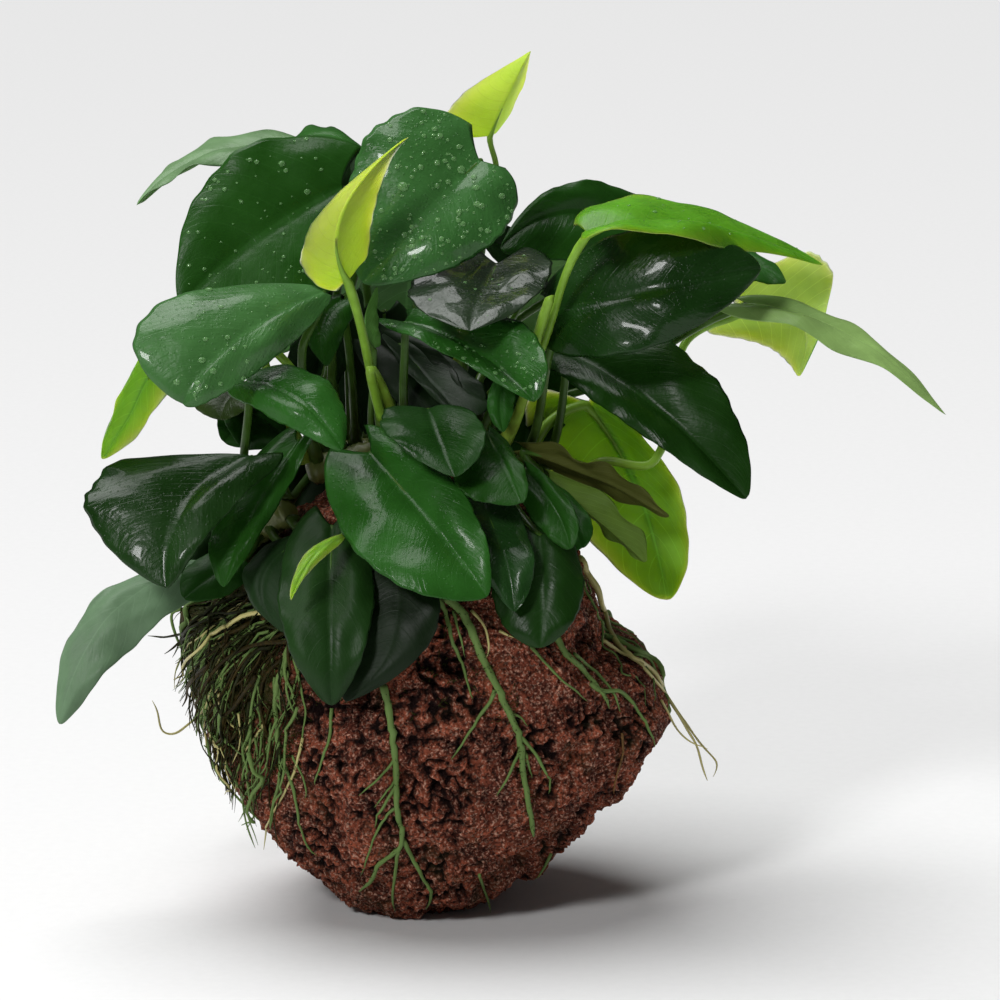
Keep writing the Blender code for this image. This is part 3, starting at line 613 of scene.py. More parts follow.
class Blade:
    """The curved surface of one leaf, as in its solid."""

    def __init__(self, leaf):
        self.leaf = leaf
        self.base, self.middle, self.tip = (
            seen(*place) for place in (leaf.base, leaf.middle, leaf.tip)
        )
        widest = self.midrib(np.array(WIDEST))
        self.left = seen(*leaf.left) - widest
        self.right = seen(*leaf.right) - widest
        self.across = self.right - self.left
        self.length = np.linalg.norm(self.middle - self.base) + np.linalg.norm(
            self.tip - self.middle)

    def midrib(self, share):
        s = np.asarray(share, float)[..., None]
        ahead = (self.base * (1 - s) * (1 - 2 * s) + self.middle * 4 * s * (1 - s)
                 + self.tip * s * (2 * s - 1))
        return np.where(s < 0, self.base + self.run(0) * s, ahead)

    def run(self, share):
        s = np.asarray(share, float)[..., None]
        return self.base * (4 * s - 3) + self.middle * (4 - 8 * s) + self.tip * (4 * s - 1)

    def up(self, share):
        return unit(np.cross(self.across, self.run(share)))

    def place(self, share, across):
        """Places on the smooth surface, and how far each lies from the midrib."""
        leaf, side = self.leaf, np.abs(across)
        full = fullness(share, leaf) / fullness(WIDEST, leaf)
        lobe = np.where(across > 0, leaf.lobes[1], leaf.lobes[0])
        back = LOBE_BACK * lobe * side**1.5 * (1 - share)**5
        edge = np.where(across[..., None] > 0, self.right, self.left)
        reach = np.linalg.norm(edge, axis=-1) * side * full
        edge = edge * (side * full)[..., None]
        rise = leaf.arch * MM * 4 * side * (1 - side) * full
        return self.midrib(share - back) + edge + self.up(share) * rise[..., None], reach, full


def blade_places(leaf, blade, sizes):
    """Rows along the blade by steps around it: over the upper side and back under it."""
    rng = seeded(leaf.name)
    t = np.linspace(0, 1, BLADE_ROWS + 1)
    share = 0.45 * t + 0.55 * (1 - np.cos(math.pi * t)) / 2
    t = np.linspace(-1, 1, BLADE_COLUMNS + 1)
    over = 0.6 * t + 0.4 * np.sin(math.pi / 2 * t)
    across = np.concatenate([over, over[-2::-1]])
    below = np.arange(len(across)) > BLADE_COLUMNS
    share, across = np.meshgrid(share, across, indexing="ij")
    places, reach, full = blade.place(share, across)
    side = np.abs(across)
    up = blade.up(share)

    phase = (share - VEIN_SWEEP * side**1.35) * VEINS
    between = np.abs(np.sin(math.pi * phase))**0.6
    inside = np.clip(side * 6, 0, 1) * np.clip((1 - side) * 5, 0, 1)
    relief = sizes.vein * between * inside * full
    relief -= sizes.groove * np.exp(-(reach / (0.8 * MM))**2) * (1 - share)**0.6 * full
    for _ in range(4):
        a, b = rng.uniform(0.6, 2.6, 2)
        c, d = rng.uniform(0, 2 * math.pi, 2)
        relief += 0.009 * blade.length * np.sin(2 * math.pi * a * share + c) * np.sin(
            math.pi * b * across + d) * full * side
    top = places[:, :BLADE_COLUMNS + 1]
    swell = np.array([[noise.noise(Vector(spot) / SWELL_SPACING) for spot in row] for row in top])
    swell = np.hstack([swell, swell[:, -2::-1]])
    relief += SWELL * swell * np.clip((1 - side) * 4, 0, 1) * full
    turns = rng.uniform(2.0, 3.8, 2)
    starts = rng.uniform(0, 2 * math.pi, 2)
    right = (across > 0).astype(int)
    wave = np.sin(2 * math.pi * turns[right] * share + starts[right])
    relief += leaf.wave * MM * wave * side**3 * np.minimum(full, 1)
    notch = np.sin(2 * math.pi * 3.1 * turns[right] * share + starts[right])
    edge = unit(np.where(across[..., None] > 0, blade.right, blade.left))
    places = places + edge * (0.012 * reach * (wave + notch) * side**3)[..., None]

    ease = np.clip(share / 0.03, 0, 1) * np.clip((1 - share) / 0.03, 0, 1)
    thick = sizes.blade * (1 - 0.85 * side**4) * ease * np.where(side >= 1, 0, 1)
    rib = 0.75 * MM * leaf.stem * (1 - share)**0.8 * np.exp(-(reach / (0.8 * MM))**2) * ease
    thick = thick + rib
    places = places + up * (relief - np.where(below, thick, 0))[..., None]
    low, high = np.array(SOLID_BOX)
    places += np.maximum(low - places.min((0, 1)), 0) - np.maximum(places.max((0, 1)) - high, 0)
    slots = np.where(np.arange(len(across[0]) - 1) < BLADE_COLUMNS, 0, 1)
    return places, slots, share, across


def stem_line(leaf, blade, core, bark, sizes):
    """The stem's line from the rhizome to where it thins out under the midrib, and its radii."""
    head, up = unit(blade.run(0)), blade.up(0)
    radius = STEM_RADIUS * leaf.stem
    under = blade.base - up * radius * 0.85
    stops = [seen(*place) for place in leaf.via]
    first = (stops or [under])[0] - core
    out = unit(first - bark * first.dot(bark))
    start = core + out * (RHIZOME_RADIUS * 0.8)
    stops = [start, *stops, under]
    if leaf.via:
        ways = [start - core]
        ways += [stops[k + 1] - stops[k - 1] for k in range(1, len(stops) - 1)]
        ways.append(under - stops[-2] + head * np.linalg.norm(under - stops[-2]) * 0.5)
    else:
        ways = [start - core, unit(under - start) + up * 0.5 + head * 0.1]
    line = [start]
    for low, high, leave, arrive in zip(stops, stops[1:], ways, ways[1:]):
        pull = np.linalg.norm(high - low) / 3
        line += list(bezier(low, low + unit(leave) * pull, high - unit(arrive) * pull, high,
                            10 if leaf.via else 18))[1:]
    share = np.linspace(0, 1, len(line))
    radii = radius * (1.1 - 0.2 * share)
    radii += radius * 0.75 * np.exp(-(share / 0.07)**2)  # the sheath at its foot
    radii += radius * 0.14 * np.exp(-((share - 0.97) / 0.045)**2)  # the joint under the blade
    tail = np.array((0.035, 0.08, 0.14, 0.22, 0.32))
    thin = radius * np.array((0.72, 0.55, 0.42, 0.30, 0.16))
    below = (sizes.blade + thin * 0.6)[:, None] * blade.up(tail)
    line = np.vstack([line, blade.midrib(tail) - below])
    return line, np.concatenate([radii, thin])


def make_leaf(leaf, rhizomes, colours, sizes):
    blade = Blade(leaf)
    work = bmesh.new()
    places, slots, share, across = blade_places(leaf, blade, sizes)
    skin(work, places, slots, along=share, across=across)
    low, high = rhizomes[leaf.rhizome]
    line, radii = stem_line(
        leaf, blade, low + (high - low) * leaf.along, unit(high - low), sizes)
    add_rod(work, line, radii, STEM_SIDES, slot=2)
    own = [linear(code) if code else getattr(colours, leaf.age + end, None)
           for code, end in ((leaf.upper, ""), (leaf.under, "_under"))]
    upper = own[0]
    under = own[1] or own[0]
    rng = seeded(leaf.name + " tone")
    tone = rng.uniform(0.88, 1.12)
    kind = leaf.age if leaf.age in ("fresh", "young") else "grown"
    materials = [
        leaf_skin(f"{leaf.name}_upper", [c * tone for c in upper[:3]], kind, True, leaf.wet),
        leaf_skin(f"{leaf.name}_underside", [c * tone for c in under[:3]], kind, False, leaf.wet),
        stem_skin(colours.young_stem if leaf.age in ("young", "fresh") else colours.stem,
                  "young_stem" if leaf.age in ("young", "fresh") else "stem"),
    ]
    nodes = [leaf.name] if leaf in LEAVES else []
    return finish_piece(work, leaf.name + "_look", materials, nodes)


def rhizome_ends():
    """The ends of each rhizome's middle line, lifted clear of the solid stone as its node is."""
    stone = surface_of(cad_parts["stone"])
    ends = {}
    for name, (low, high) in RHIZOMES.items():
        under = []
        for k in range(11):
            x, y = (a + (b - a) * k / 10 for a, b in zip(low, high))
            under.append(stone.ray_cast(Vector((x * MM, y * MM, 1)), Vector((0, 0, -1)))[0])
        start, end = under[0], under[-1]
        rise = max(p.z - start.lerp(end, k / 10).z for k, p in enumerate(under))
        lift = Vector((0, 0, rise + RHIZOME_RADIUS + RHIZOME_LIFT))
        ends[name] = (np.array(start + lift), np.array(end + lift))
    return ends


# Materials

def add_node(tree, kind, inputs=None, out=0, **settings):
    """Adds a shader node, sets or links its inputs, and returns one of its outputs."""
    node = tree.nodes.new("ShaderNode" + kind)
    for name, value in settings.items():
        setattr(node, name, value)
    for name, value in (inputs or {}).items():
        if isinstance(value, bpy.types.NodeSocket):
            tree.links.new(value, node.inputs[name])
        else:
            node.inputs[name].default_value = value
    return node.outputs[out]


def new_material(name, **fixed):
    """A material with its tree and shader; fixed sets the shader's own sockets."""
    material = bpy.data.materials.new(name)
    material.use_nodes = True
    shader = material.node_tree.nodes["Principled BSDF"]
    for socket, value in fixed.items():
        shader.inputs[socket.replace("_", " ")].default_value = value
    return material, material.node_tree, shader


def leaf_skin(name, colour, kind, upper, wet):
    """Leathery leaf cuticle: waxy and smooth, so broad soft highlights lie over a deep green,
    with paler veins; the underside is duller and lighter."""
    young = kind == "young"
    material, tree, shader = new_material(
        name, IOR=1.25 if upper else 1.2, Coat_Weight=max(wet - 0.3, 0) * 0.5 if upper else 0.0,
        Coat_Roughness=0.06, Subsurface_Weight={"grown": 0.0, "fresh": 0.6, "young": 0.9}[kind],
        Subsurface_Scale=4 * MM, Subsurface_Radius=(0.75, 1.0, 0.2))
    gloss = 0.42 - 0.6 * min(wet, 0.35) if upper else 0.42
    colour = (*colour[:3], 1)
    along = add_node(tree, "Attribute", out="Fac", attribute_name="along")
    across = add_node(tree, "Attribute", out="Fac", attribute_name="across")
    place = add_node(tree, "TexCoord", out="Object")
    side = add_node(tree, "Math", {0: across}, operation="ABSOLUTE")
    sweep = add_node(tree, "Math", {0: side, 1: 1.35}, operation="POWER")
    sweep = add_node(tree, "Math", {0: sweep, 1: -VEIN_SWEEP, 2: along},
                     operation="MULTIPLY_ADD")
    phase = add_node(tree, "Math", {0: sweep, 1: VEINS * math.pi}, operation="MULTIPLY")
    crest = add_node(tree, "Math", {0: phase}, operation="SINE")
    crest = add_node(tree, "Math", {0: crest}, operation="ABSOLUTE")
    # Side veins are about 0.4 mm wide, and half-way between them lie finer ones
    vein = add_node(tree, "MapRange", {0: crest, 1: 0.0, 2: 0.16, 3: 1.0, 4: 0.0},
                    interpolation_type="SMOOTHSTEP")
    fine = add_node(tree, "Math", {0: phase, 1: 3.0}, operation="MULTIPLY")
    fine = add_node(tree, "Math", {0: fine}, operation="SINE")
    fine = add_node(tree, "Math", {0: fine}, operation="ABSOLUTE")
    fine = add_node(tree, "MapRange", {0: fine, 1: 0.0, 2: 0.3, 3: 1.0, 4: 0.0},
                    interpolation_type="SMOOTHSTEP")
    rib = add_node(tree, "MapRange", {0: side, 1: 0.008, 2: 0.035, 3: 1.0, 4: 0.0},
                   interpolation_type="SMOOTHSTEP")
    # Pale band along the margin: painted rim highlight
    margin = add_node(tree, "MapRange", {0: side, 1: 0.975, 2: 1.0, 3: 0.0, 4: 1.0})
    mottle = add_node(tree, "TexNoise", {"Vector": place, "Scale": 1 / (14 * MM), "Detail": 3.0})
    grain = add_node(tree, "TexNoise", {"Vector": place, "Scale": 1 / (0.9 * MM), "Detail": 2.0})
    light = [min(c * (1.2 if young else 1.75) + 0.003, 1) for c in colour[:3]] + [1]
    pale = [c * 0.72 if young else min(c * 1.9 + 0.012, 1) for c in colour[:3]] + [1]
    dark = [c * 0.62 for c in colour[:3]] + [1]
    shade = add_node(tree, "MapRange", {0: mottle, 1: 0.3, 2: 0.7, 3: 0.0, 4: 1.0})
    tinted = add_node(tree, "Mix", {0: shade, 6: dark, 7: light}, 2, data_type="RGBA")
    tinted = add_node(tree, "Mix", {0: 0.62, 6: tinted, 7: colour}, 2, data_type="RGBA")
    vein_part = add_node(tree, "Math", {0: vein, 1: 0.12 if upper else 0.4},
                         operation="MULTIPLY")
    tinted = add_node(tree, "Mix", {0: vein_part, 6: tinted, 7: pale}, 2, data_type="RGBA")
    rib_part = add_node(tree, "Math", {0: rib, 1: 0.18 if upper else 0.6}, operation="MULTIPLY")
    tinted = add_node(tree, "Mix", {0: rib_part, 6: tinted, 7: pale}, 2, data_type="RGBA")
    # Painted rim highlight: the margin mixes towards the pale colour
    rim_highlight_part = add_node(tree, "Math", {0: margin, 1: 0.55}, operation="MULTIPLY")
    tinted = add_node(tree, "Mix", {0: rim_highlight_part, 6: tinted, 7: pale}, 2, data_type="RGBA")
    tree.links.new(tinted, shader.inputs["Base Color"])
    rough = add_node(tree, "MapRange", {
        0: mottle, 1: 0.35, 2: 0.65, 3: gloss, 4: gloss + 0.14})
    tree.links.new(rough, shader.inputs["Roughness"])
    film = add_node(tree, "TexNoise", {"Vector": place, "Scale": 1 / (3.2 * MM), "Detail": 2.0})
    film = add_node(tree, "Math", {0: film, 1: 2 + wet * 6, 2: grain}, operation="MULTIPLY_ADD")
    # Water drawn out along the side veins
    run = add_node(tree, "Math", {0: sweep, 1: 30.0}, operation="MULTIPLY")
    span = add_node(tree, "Math", {0: across, 1: 5.0}, operation="MULTIPLY")
    run = add_node(tree, "CombineXYZ", {"X": run, "Y": span})
    streak = add_node(tree, "TexNoise", {"Vector": run, "Scale": 1.0, "Detail": 3.0})
    film = add_node(tree, "Math", {0: streak, 1: 1.5 + wet * 6, 2: film},
                    operation="MULTIPLY_ADD")
    if wet > 0.4:
        bead = add_node(tree, "TexVoronoi", {"Vector": place, "Scale": 1 / (1.5 * MM)},
                        "Distance")
        bead = add_node(tree, "MapRange", {0: bead, 1: 0.12, 2: 0.3, 3: 4 * wet, 4: 0.0},
                        interpolation_type="SMOOTHSTEP")
        film = add_node(tree, "Math", {0: bead, 1: film}, operation="ADD")
    height = add_node(tree, "Math", {0: vein, 1: -0.5 if upper else 0.9, 2: film},
                      operation="MULTIPLY_ADD")
    height = add_node(tree, "Math", {0: fine, 1: -0.25 if upper else 0.3, 2: height},
                      operation="MULTIPLY_ADD")
    bump = add_node(tree, "Bump", {"Height": height, "Strength": 0.4, "Distance": 0.1 * MM})
    tree.links.new(bump, shader.inputs["Normal"])
    return material


def stem_skin(colour, name):
    """Smooth round leaf stem, juicy and a little glossy, browner at its foot."""
    if name in bpy.data.materials:
        return bpy.data.materials[name]
    material, tree, shader = new_material(name, IOR=1.3, Roughness=0.3)
    along = add_node(tree, "Attribute", out="Fac", attribute_name="along")
    place = add_node(tree, "TexCoord", out="Object")
    streak = add_node(tree, "TexNoise", {"Vector": place, "Scale": 1 / (5 * MM), "Detail": 4.0})
    base = tuple(colour)
    foot = [base[0] * 0.9, base[1] * 0.6, base[2] * 0.8, 1]
    light = [min(c * 1.5 + 0.02, 1) for c in base[:3]] + [1]
    rise = add_node(tree, "MapRange", {0: along, 1: 0.0, 2: 0.45, 3: 0.0, 4: 1.0})
    tinted = add_node(tree, "Mix", {0: rise, 6: foot, 7: base}, 2, data_type="RGBA")
    part = add_node(tree, "MapRange", {0: streak, 1: 0.45, 2: 0.75, 3: 0.0, 4: 0.6})
    tinted = add_node(tree, "Mix", {0: part, 6: tinted, 7: light}, 2, data_type="RGBA")
    tree.links.new(tinted, shader.inputs["Base Color"])
    bump = add_node(tree, "Bump", {"Height": streak, "Strength": 0.3, "Distance": 0.2 * MM})
    tree.links.new(bump, shader.inputs["Normal"])
    return material


def bark_skin(name, colour, roughness, grain_mm):
    """Rhizome bark and root skin: fibrous and matt, with lighter flecks, and lighter towards the far end of each
    piece.
    """
    if name in bpy.data.materials:
        return bpy.data.materials[name]
    material, tree, shader = new_material(name, IOR=1.18)
    place = add_node(tree, "TexCoord", out="Object")
    coarse = add_node(tree, "TexNoise",
                      {"Vector": place, "Scale": 1 / (grain_mm * 5 * MM), "Detail": 3.0})
    fine = add_node(tree, "TexNoise",
                    {"Vector": place, "Scale": 1 / (grain_mm * MM), "Detail": 3.0})
    base = tuple(colour)
    dark = [base[0] * 0.45, base[1] * 0.42, base[2] * 0.4, 1]
    light = [base[0] * 2.2, base[1] * 1.8, base[2] * 1.4, 1]
    part = add_node(tree, "MapRange", {0: coarse, 1: 0.35, 2: 0.65, 3: 0.0, 4: 1.0})
    tinted = add_node(tree, "Mix", {0: part, 6: dark, 7: base}, 2, data_type="RGBA")
    part = add_node(tree, "MapRange", {0: fine, 1: 0.5, 2: 0.75, 3: 0.0, 4: 0.7})
    tinted = add_node(tree, "Mix", {0: part, 6: tinted, 7: light}, 2, data_type="RGBA")
    along = add_node(tree, "Attribute", out="Fac", attribute_name="along")
    part = add_node(tree, "MapRange", {0: along, 1: 0.4, 2: 1.0, 3: 0.0, 4: 0.6})
    tinted = add_node(tree, "Mix", {0: part, 6: tinted, 7: light}, 2, data_type="RGBA")
    tree.links.new(tinted, shader.inputs["Base Color"])
    rough = add_node(tree, "MapRange",
                     {0: fine, 1: 0.3, 2: 0.7, 3: roughness - 0.1, 4: roughness + 0.1})
    tree.links.new(rough, shader.inputs["Roughness"])
    bump = add_node(tree, "Bump", {"Height": fine, "Strength": 0.5, "Distance": 0.25 * MM})
    tree.links.new(bump, shader.inputs["Normal"])
    return material


def lava_skin(colours):
    """Porous lava stone: rough broken glassy rock, brick red on lit faces, with small wet glints and a film of
    algae;
    painted shade makes its pores and cracks nearly black, and pale specks on its peaks are painted highlights."""
    material, tree, shader = new_material("lava_stone", IOR=1.2)
    place = add_node(tree, "TexCoord", out="Object")
    hollow = add_node(tree, "Attribute", out="Fac", attribute_name="hollow")
    algae = add_node(tree, "Attribute", out="Fac", attribute_name="algae")
    patch = add_node(tree, "TexNoise", {"Vector": place, "Scale": 1 / (10 * MM), "Detail": 5.0})
    grit = add_node(tree, "TexNoise",
                    {"Vector": place, "Scale": 1 / (1.4 * MM), "Detail": 5.0, "Roughness": 0.7})
    crumb = add_node(tree, "TexVoronoi", {"Vector": place, "Scale": 1 / (1.1 * MM)}, "Distance")
    glint = add_node(tree, "TexNoise",
                     {"Vector": place, "Scale": 1 / (0.8 * MM), "Detail": 2.0})
    base = tuple(colours.stone)
    # Painted shade colour for the pores, the cracks and the gaps between crumbs
    deep = tuple(colours.hollow)
    warm = [base[0] * 1.25, base[1] * 1.05, base[2] * 0.95, 1]
    dull = [base[0] * 0.5, base[1] * 0.42, base[2] * 0.42, 1]
    part = add_node(tree, "MapRange", {0: patch, 1: 0.38, 2: 0.6, 3: 0.0, 4: 1.0})
    tinted = add_node(tree, "Mix", {0: part, 6: dull, 7: warm}, 2, data_type="RGBA")
    # Painted highlights: pale specks where the fine glint noise is high
    part = add_node(tree, "MapRange", {0: glint, 1: 0.52, 2: 0.68, 3: 0.0, 4: 1.0})
    tinted = add_node(tree, "Mix", {0: part, 6: tinted, 7: tuple(colours.grain)}, 2,
                      data_type="RGBA")
    # Painted shade: darker where the grit noise is low, in the pits of the bump
    part = add_node(tree, "MapRange", {0: grit, 1: 0.48, 2: 0.36, 3: 0.0, 4: 0.9})
    tinted = add_node(tree, "Mix", {0: part, 6: tinted, 7: deep}, 2, data_type="RGBA")
    # Painted shade: darker where the crumb cells meet, in the cracks of the bump
    part = add_node(tree, "MapRange", {0: crumb, 1: 0.5, 2: 0.8, 3: 0.0, 4: 0.7})
    tinted = add_node(tree, "Mix", {0: part, 6: tinted, 7: deep}, 2, data_type="RGBA")
    # Painted shade in the pores and cracks that the stone's mesh has
    tinted = add_node(tree, "Mix", {0: hollow, 6: tinted, 7: deep}, 2, data_type="RGBA")
    green = linear("#2a3210")
    tinted = add_node(tree, "Mix", {0: algae, 6: tinted, 7: green}, 2, data_type="RGBA")
    tree.links.new(tinted, shader.inputs["Base Color"])
    rough = add_node(tree, "MapRange", {0: glint, 1: 0.4, 2: 0.7, 3: 0.85, 4: 0.4})
    tree.links.new(rough, shader.inputs["Roughness"])
    height = add_node(tree, "Math", {0: crumb, 1: -0.7, 2: grit}, operation="MULTIPLY_ADD")
    bump = add_node(tree, "Bump", {"Height": height, "Strength": 1.0, "Distance": 1.3 * MM})
    tree.links.new(bump, shader.inputs["Normal"])
    return material


def water_skin():
    """Drops of clear water: mostly see-through, with sharp small highlights and a pale green body colour,
    painted light that makes them a little brighter than the leaf below them."""
    if "water" in bpy.data.materials:
        return bpy.data.materials["water"]
    # The pale green base colour is painted light in the drop's body
    return new_material("water", Base_Color=linear("#7fb070"), Roughness=0.03, IOR=1.5,
                        Alpha=0.4)[0]


def paper_skin():
    """Matt pale studio board."""
    material, tree, shader = new_material("studio_board", Roughness=0.9)
    place = add_node(tree, "TexCoord", out="Object")
    tooth = add_node(tree, "TexNoise", {"Vector": place, "Scale": 300.0})
    tinted = add_node(tree, "Mix", {0: tooth, 6: (0.78, 0.78, 0.78, 1), 7: (0.82, 0.82, 0.82, 1)},
                      2, data_type="RGBA")
    tree.links.new(tinted, shader.inputs["Base Color"])
    return material


# Stone

def stone_places(balls, pore):
    """Where each direction's point of the stone's surface lies, and how much painted shade its pores and cracks
    get there.
    """
    offsets = np.array(STONE_OUTLINE_PX) - np.array(STONE_HEART_PX)
    angles = np.arctan2(-offsets[:, 1], offsets[:, 0])
    radii = np.hypot(offsets[:, 0], offsets[:, 1]) * PIXEL
    order = np.argsort(angles)
    angle = np.arctan2(balls[:, 2], balls[:, 0])
    level = np.hypot(balls[:, 0], balls[:, 2])
    own = level**3
    radius = np.interp(angle, angles[order], radii[order], period=2 * math.pi) * own
    radius = (radius + STONE_ROUND_RADIUS * (1 - own)) * level**0.8
    depth = np.copysign(np.abs(balls[:, 1])**0.85, balls[:, 1]) * STONE_DEPTH
    places = np.stack([np.cos(angle) * radius, depth, np.sin(angle) * radius], 1)
    places += seen(*STONE_HEART_PX, 0)
    lumps, hollows = [], []
    for ball, place in zip(map(Vector, balls), places):
        lump = noise.noise(ball * LUMP_SCALE)
        lump += 0.5 * noise.noise(ball * SMALL_LUMP_SCALE + Vector((7, 3, 1)))
        pit = max(noise.noise(ball * PIT_SCALE + Vector((2, 9, 4))) - PIT_FLOOR, 0) * 2
        spot = Vector(place)
        crag = STONE_CRAG * noise.noise(spot / CRAG_SPACING)
        grains = abs(noise.noise(spot / (3.1 * MM))) * 1.9 - 0.45
        grains += abs(noise.noise(spot / (1.5 * MM) + Vector((3, 1, 8)))) * 1.3 - 0.3
        open_patch = noise.noise(spot / (17 * MM) + Vector((5, 0, 2))) * 1.8 + 0.45
        open_patch += 0.5 * max(1 - (spot - OPEN_HEART).length / (32 * MM), 0)
        open_patch = min(max(open_patch, 0.15), 1)
        warp = noise.noise_vector(spot / (2.6 * MM)) * 0.45
        (near, *_), (middle, *_) = noise.voronoi(spot / pore + warp)
        hole = max(0.62 - near, 0) * 6 * max(noise.noise(middle * 3.7) + 0.4, 0)
        split = max(0.2 - abs(noise.noise(spot / (5.2 * MM) + warp * 0.6)), 0) * 9
        hole = (hole + split) * open_patch
        lumps.append(STONE_LUMP * lump - STONE_PIT * pit + crag + (grains - hole) * MM)
        # How much painted shade lies in this place's pits and cracks
        hollows.append(min(max(hole * 0.9 - grains * 0.55 + pit * 0.3, 0), 1))
    return places + balls * np.array(lumps)[:, None], np.array(hollows)


def make_stone(colours, sizes):
    work = bmesh.new()
    bmesh.ops.create_icosphere(work, subdivisions=7, radius=1)
    front = [edge for edge in work.edges
             if all(v.co.y < -0.3 and v.co.z < 0.45 for v in edge.verts)]
    bmesh.ops.subdivide_edges(work, edges=front, cuts=1, use_grid_fill=True)
    bmesh.ops.triangulate(work, faces=[f for f in work.faces if len(f.verts) > 3])
    # Each vertex's share of painted shade in the pores
    hollow = work.verts.layers.float.new("hollow")
    algae = work.verts.layers.float.new("algae")
    balls = unit(np.array([vert.co for vert in work.verts]))
    places, hollows = stone_places(balls, sizes.pore)
    for vert, place, deep in zip(work.verts, places, hollows):
        vert.co = place
        vert[hollow] = deep
        film = noise.noise(Vector(place) / (16 * MM)) + 0.6 * noise.noise(
            Vector(place) / (4 * MM))
        left = min(max((-place[0] - 30 * MM) / (14 * MM), 0), 1)
        high = min(max((place[2] - 48 * MM) / (22 * MM), 0), 1)
        film = 0.5 * (film - 0.2) + 1.1 * left * high
        vert[algae] = min(max(film, 0), 0.9)
    geometry = work.verts[:] + work.edges[:] + work.faces[:]
    bmesh.ops.bisect_plane(work, geom=geometry, plane_co=(0, 0, 0), plane_no=(0, 0, -1),
                           clear_outer=True)
    bmesh.ops.contextual_create(work, geom=[e for e in work.edges if e.is_boundary])
    for face in work.faces:
        face.smooth = len(face.verts) == 3
    return finish_piece(work, "stone_look", [lava_skin(colours)], ["stone"])


# Roots

def draped(pixels, radius, stone, lift):
    """Pixels laid on the stone along the sight lines; past its edge they hang on at one depth."""
    heart = Vector(seen(*STONE_HEART_PX, 0))
    line, depth = [], 0.0
    for u, v in pixels:
        eye, ray = sight_line(u, v)
        hit, _, _, _ = stone.ray_cast(Vector(eye), Vector(ray).normalized())
        if hit is not None:
            place = hit + (hit - heart).normalized() * (radius * 0.55 + lift)
            depth = place.y / MM
            line.append(np.array(place))
        else:
            line.append(seen(u, v, depth))
    return settled(np.array(line), radius, stone, lift)


def settled(line, radius, stone, lift):
    """Smooths a line of places and keeps it out of the stone."""
    for _ in range(4):
        inner = (line[:-2] + line[2:]) / 2
        line[1:-1] = line[1:-1] * 0.5 + inner * 0.5
        for k, place in enumerate(line):
            near, normal, _, gap = stone.find_nearest(Vector(place))
            off = (Vector(place) - near).dot(normal)
            if gap < 0.01 and off < radius * 0.4 + lift * 0.5:
                line[k] = np.array(near + normal * (radius * 0.4 + lift * 0.5))
    line[:, 2] = np.maximum(line[:, 2], radius * 1.02)
    return line


def wobbled(line, amount, rng):
    """The line with a slow, soft wander of its own."""
    share = np.linspace(0, 1, len(line))
    for _ in range(3):
        turns, start = rng.uniform(1.0, 5.0), rng.uniform(0, 2 * math.pi)
        way = rng.normal(size=line.shape[1])
        line = line + amount * np.sin(2 * math.pi * turns * share + start)[:, None] * way * (
            share * 1.0)[:, None]
    return line


def root_radii(line, start, end, rng):
    radii = np.linspace(start, end, len(line)) * MM
    bumps = 1 + 0.09 * np.sin(np.arange(len(line)) * rng.uniform(0.8, 1.3)) * rng.uniform(0.6, 1)
    radii = radii * bumps
    radii[-3:] *= np.array((0.85, 0.6, 0.3))
    return radii


def make_roots(colours, stone):
    """Main roots by node, then the lesser ones by colour."""
    groups = {}
    for k, root in enumerate(ROOTS):
        rng = seeded(f"root {k}")
        pixels = wobbled(smooth_line(root.path, 4.0), 0.8, rng)
        line = draped(pixels, root.start * MM, stone, 0.15 * MM)
        name = root.node or {"root": "small_roots", "pale_root": "pale_small_roots",
                             "dark_root": "dark_small_roots",
                             "dry_root": "dry_small_roots"}[root.colour]
        groups.setdefault((name, root.colour, root.node), []).append(
            (line, root_radii(line, root.start, root.end, rng)))
    for (name, colour, node), rods in groups.items():
        work = bmesh.new()
        for line, radii in rods:
            add_rod(work, line, radii, 10 if radii[0] > 0.7 * MM else 7)
        finish_piece(work, name + "_look", [root_material(colour, colours)],
                     [node] if node else ())
    return groups


def root_material(colour, colours):
    return bark_skin(colour, getattr(colours, colour), 0.5, 0.8)


def make_root_hairs(groups, colours):
    """Short velvety hairs that stand off the thick green root."""
    rng = seeded("root hairs")
    work = bmesh.new()
    for (name, _, _), rods in groups.items():
        share = {"root_thick": 0.6, "root_front": 0.22, "root_right": 0.18}.get(name, 0)
        for _ in range(int(ROOT_HAIRS * share)):
            line, radii = rods[0]
            k = int(rng.integers(1, len(line) - 2))
            way = unit(rng.normal(size=3))
            way = unit(way - unit(line[k + 1] - line[k]) * way.dot(unit(line[k + 1] - line[k])))
            start = line[k] + way * radii[k] * 0.8
            reach = rng.uniform(0.8, 1.9) * MM
            bend = unit(rng.normal(size=3)) * reach * 0.3
            hair = np.array([start, start + way * reach * 0.5 + bend * 0.3,
                             start + way * reach + bend])
            add_rod(work, hair, np.array((0.1, 0.08, 0.03)) * MM, 3)
    finish_piece(work, "root_hairs", [bark_skin("moss", colours.moss, 0.7, 0.5)], ())


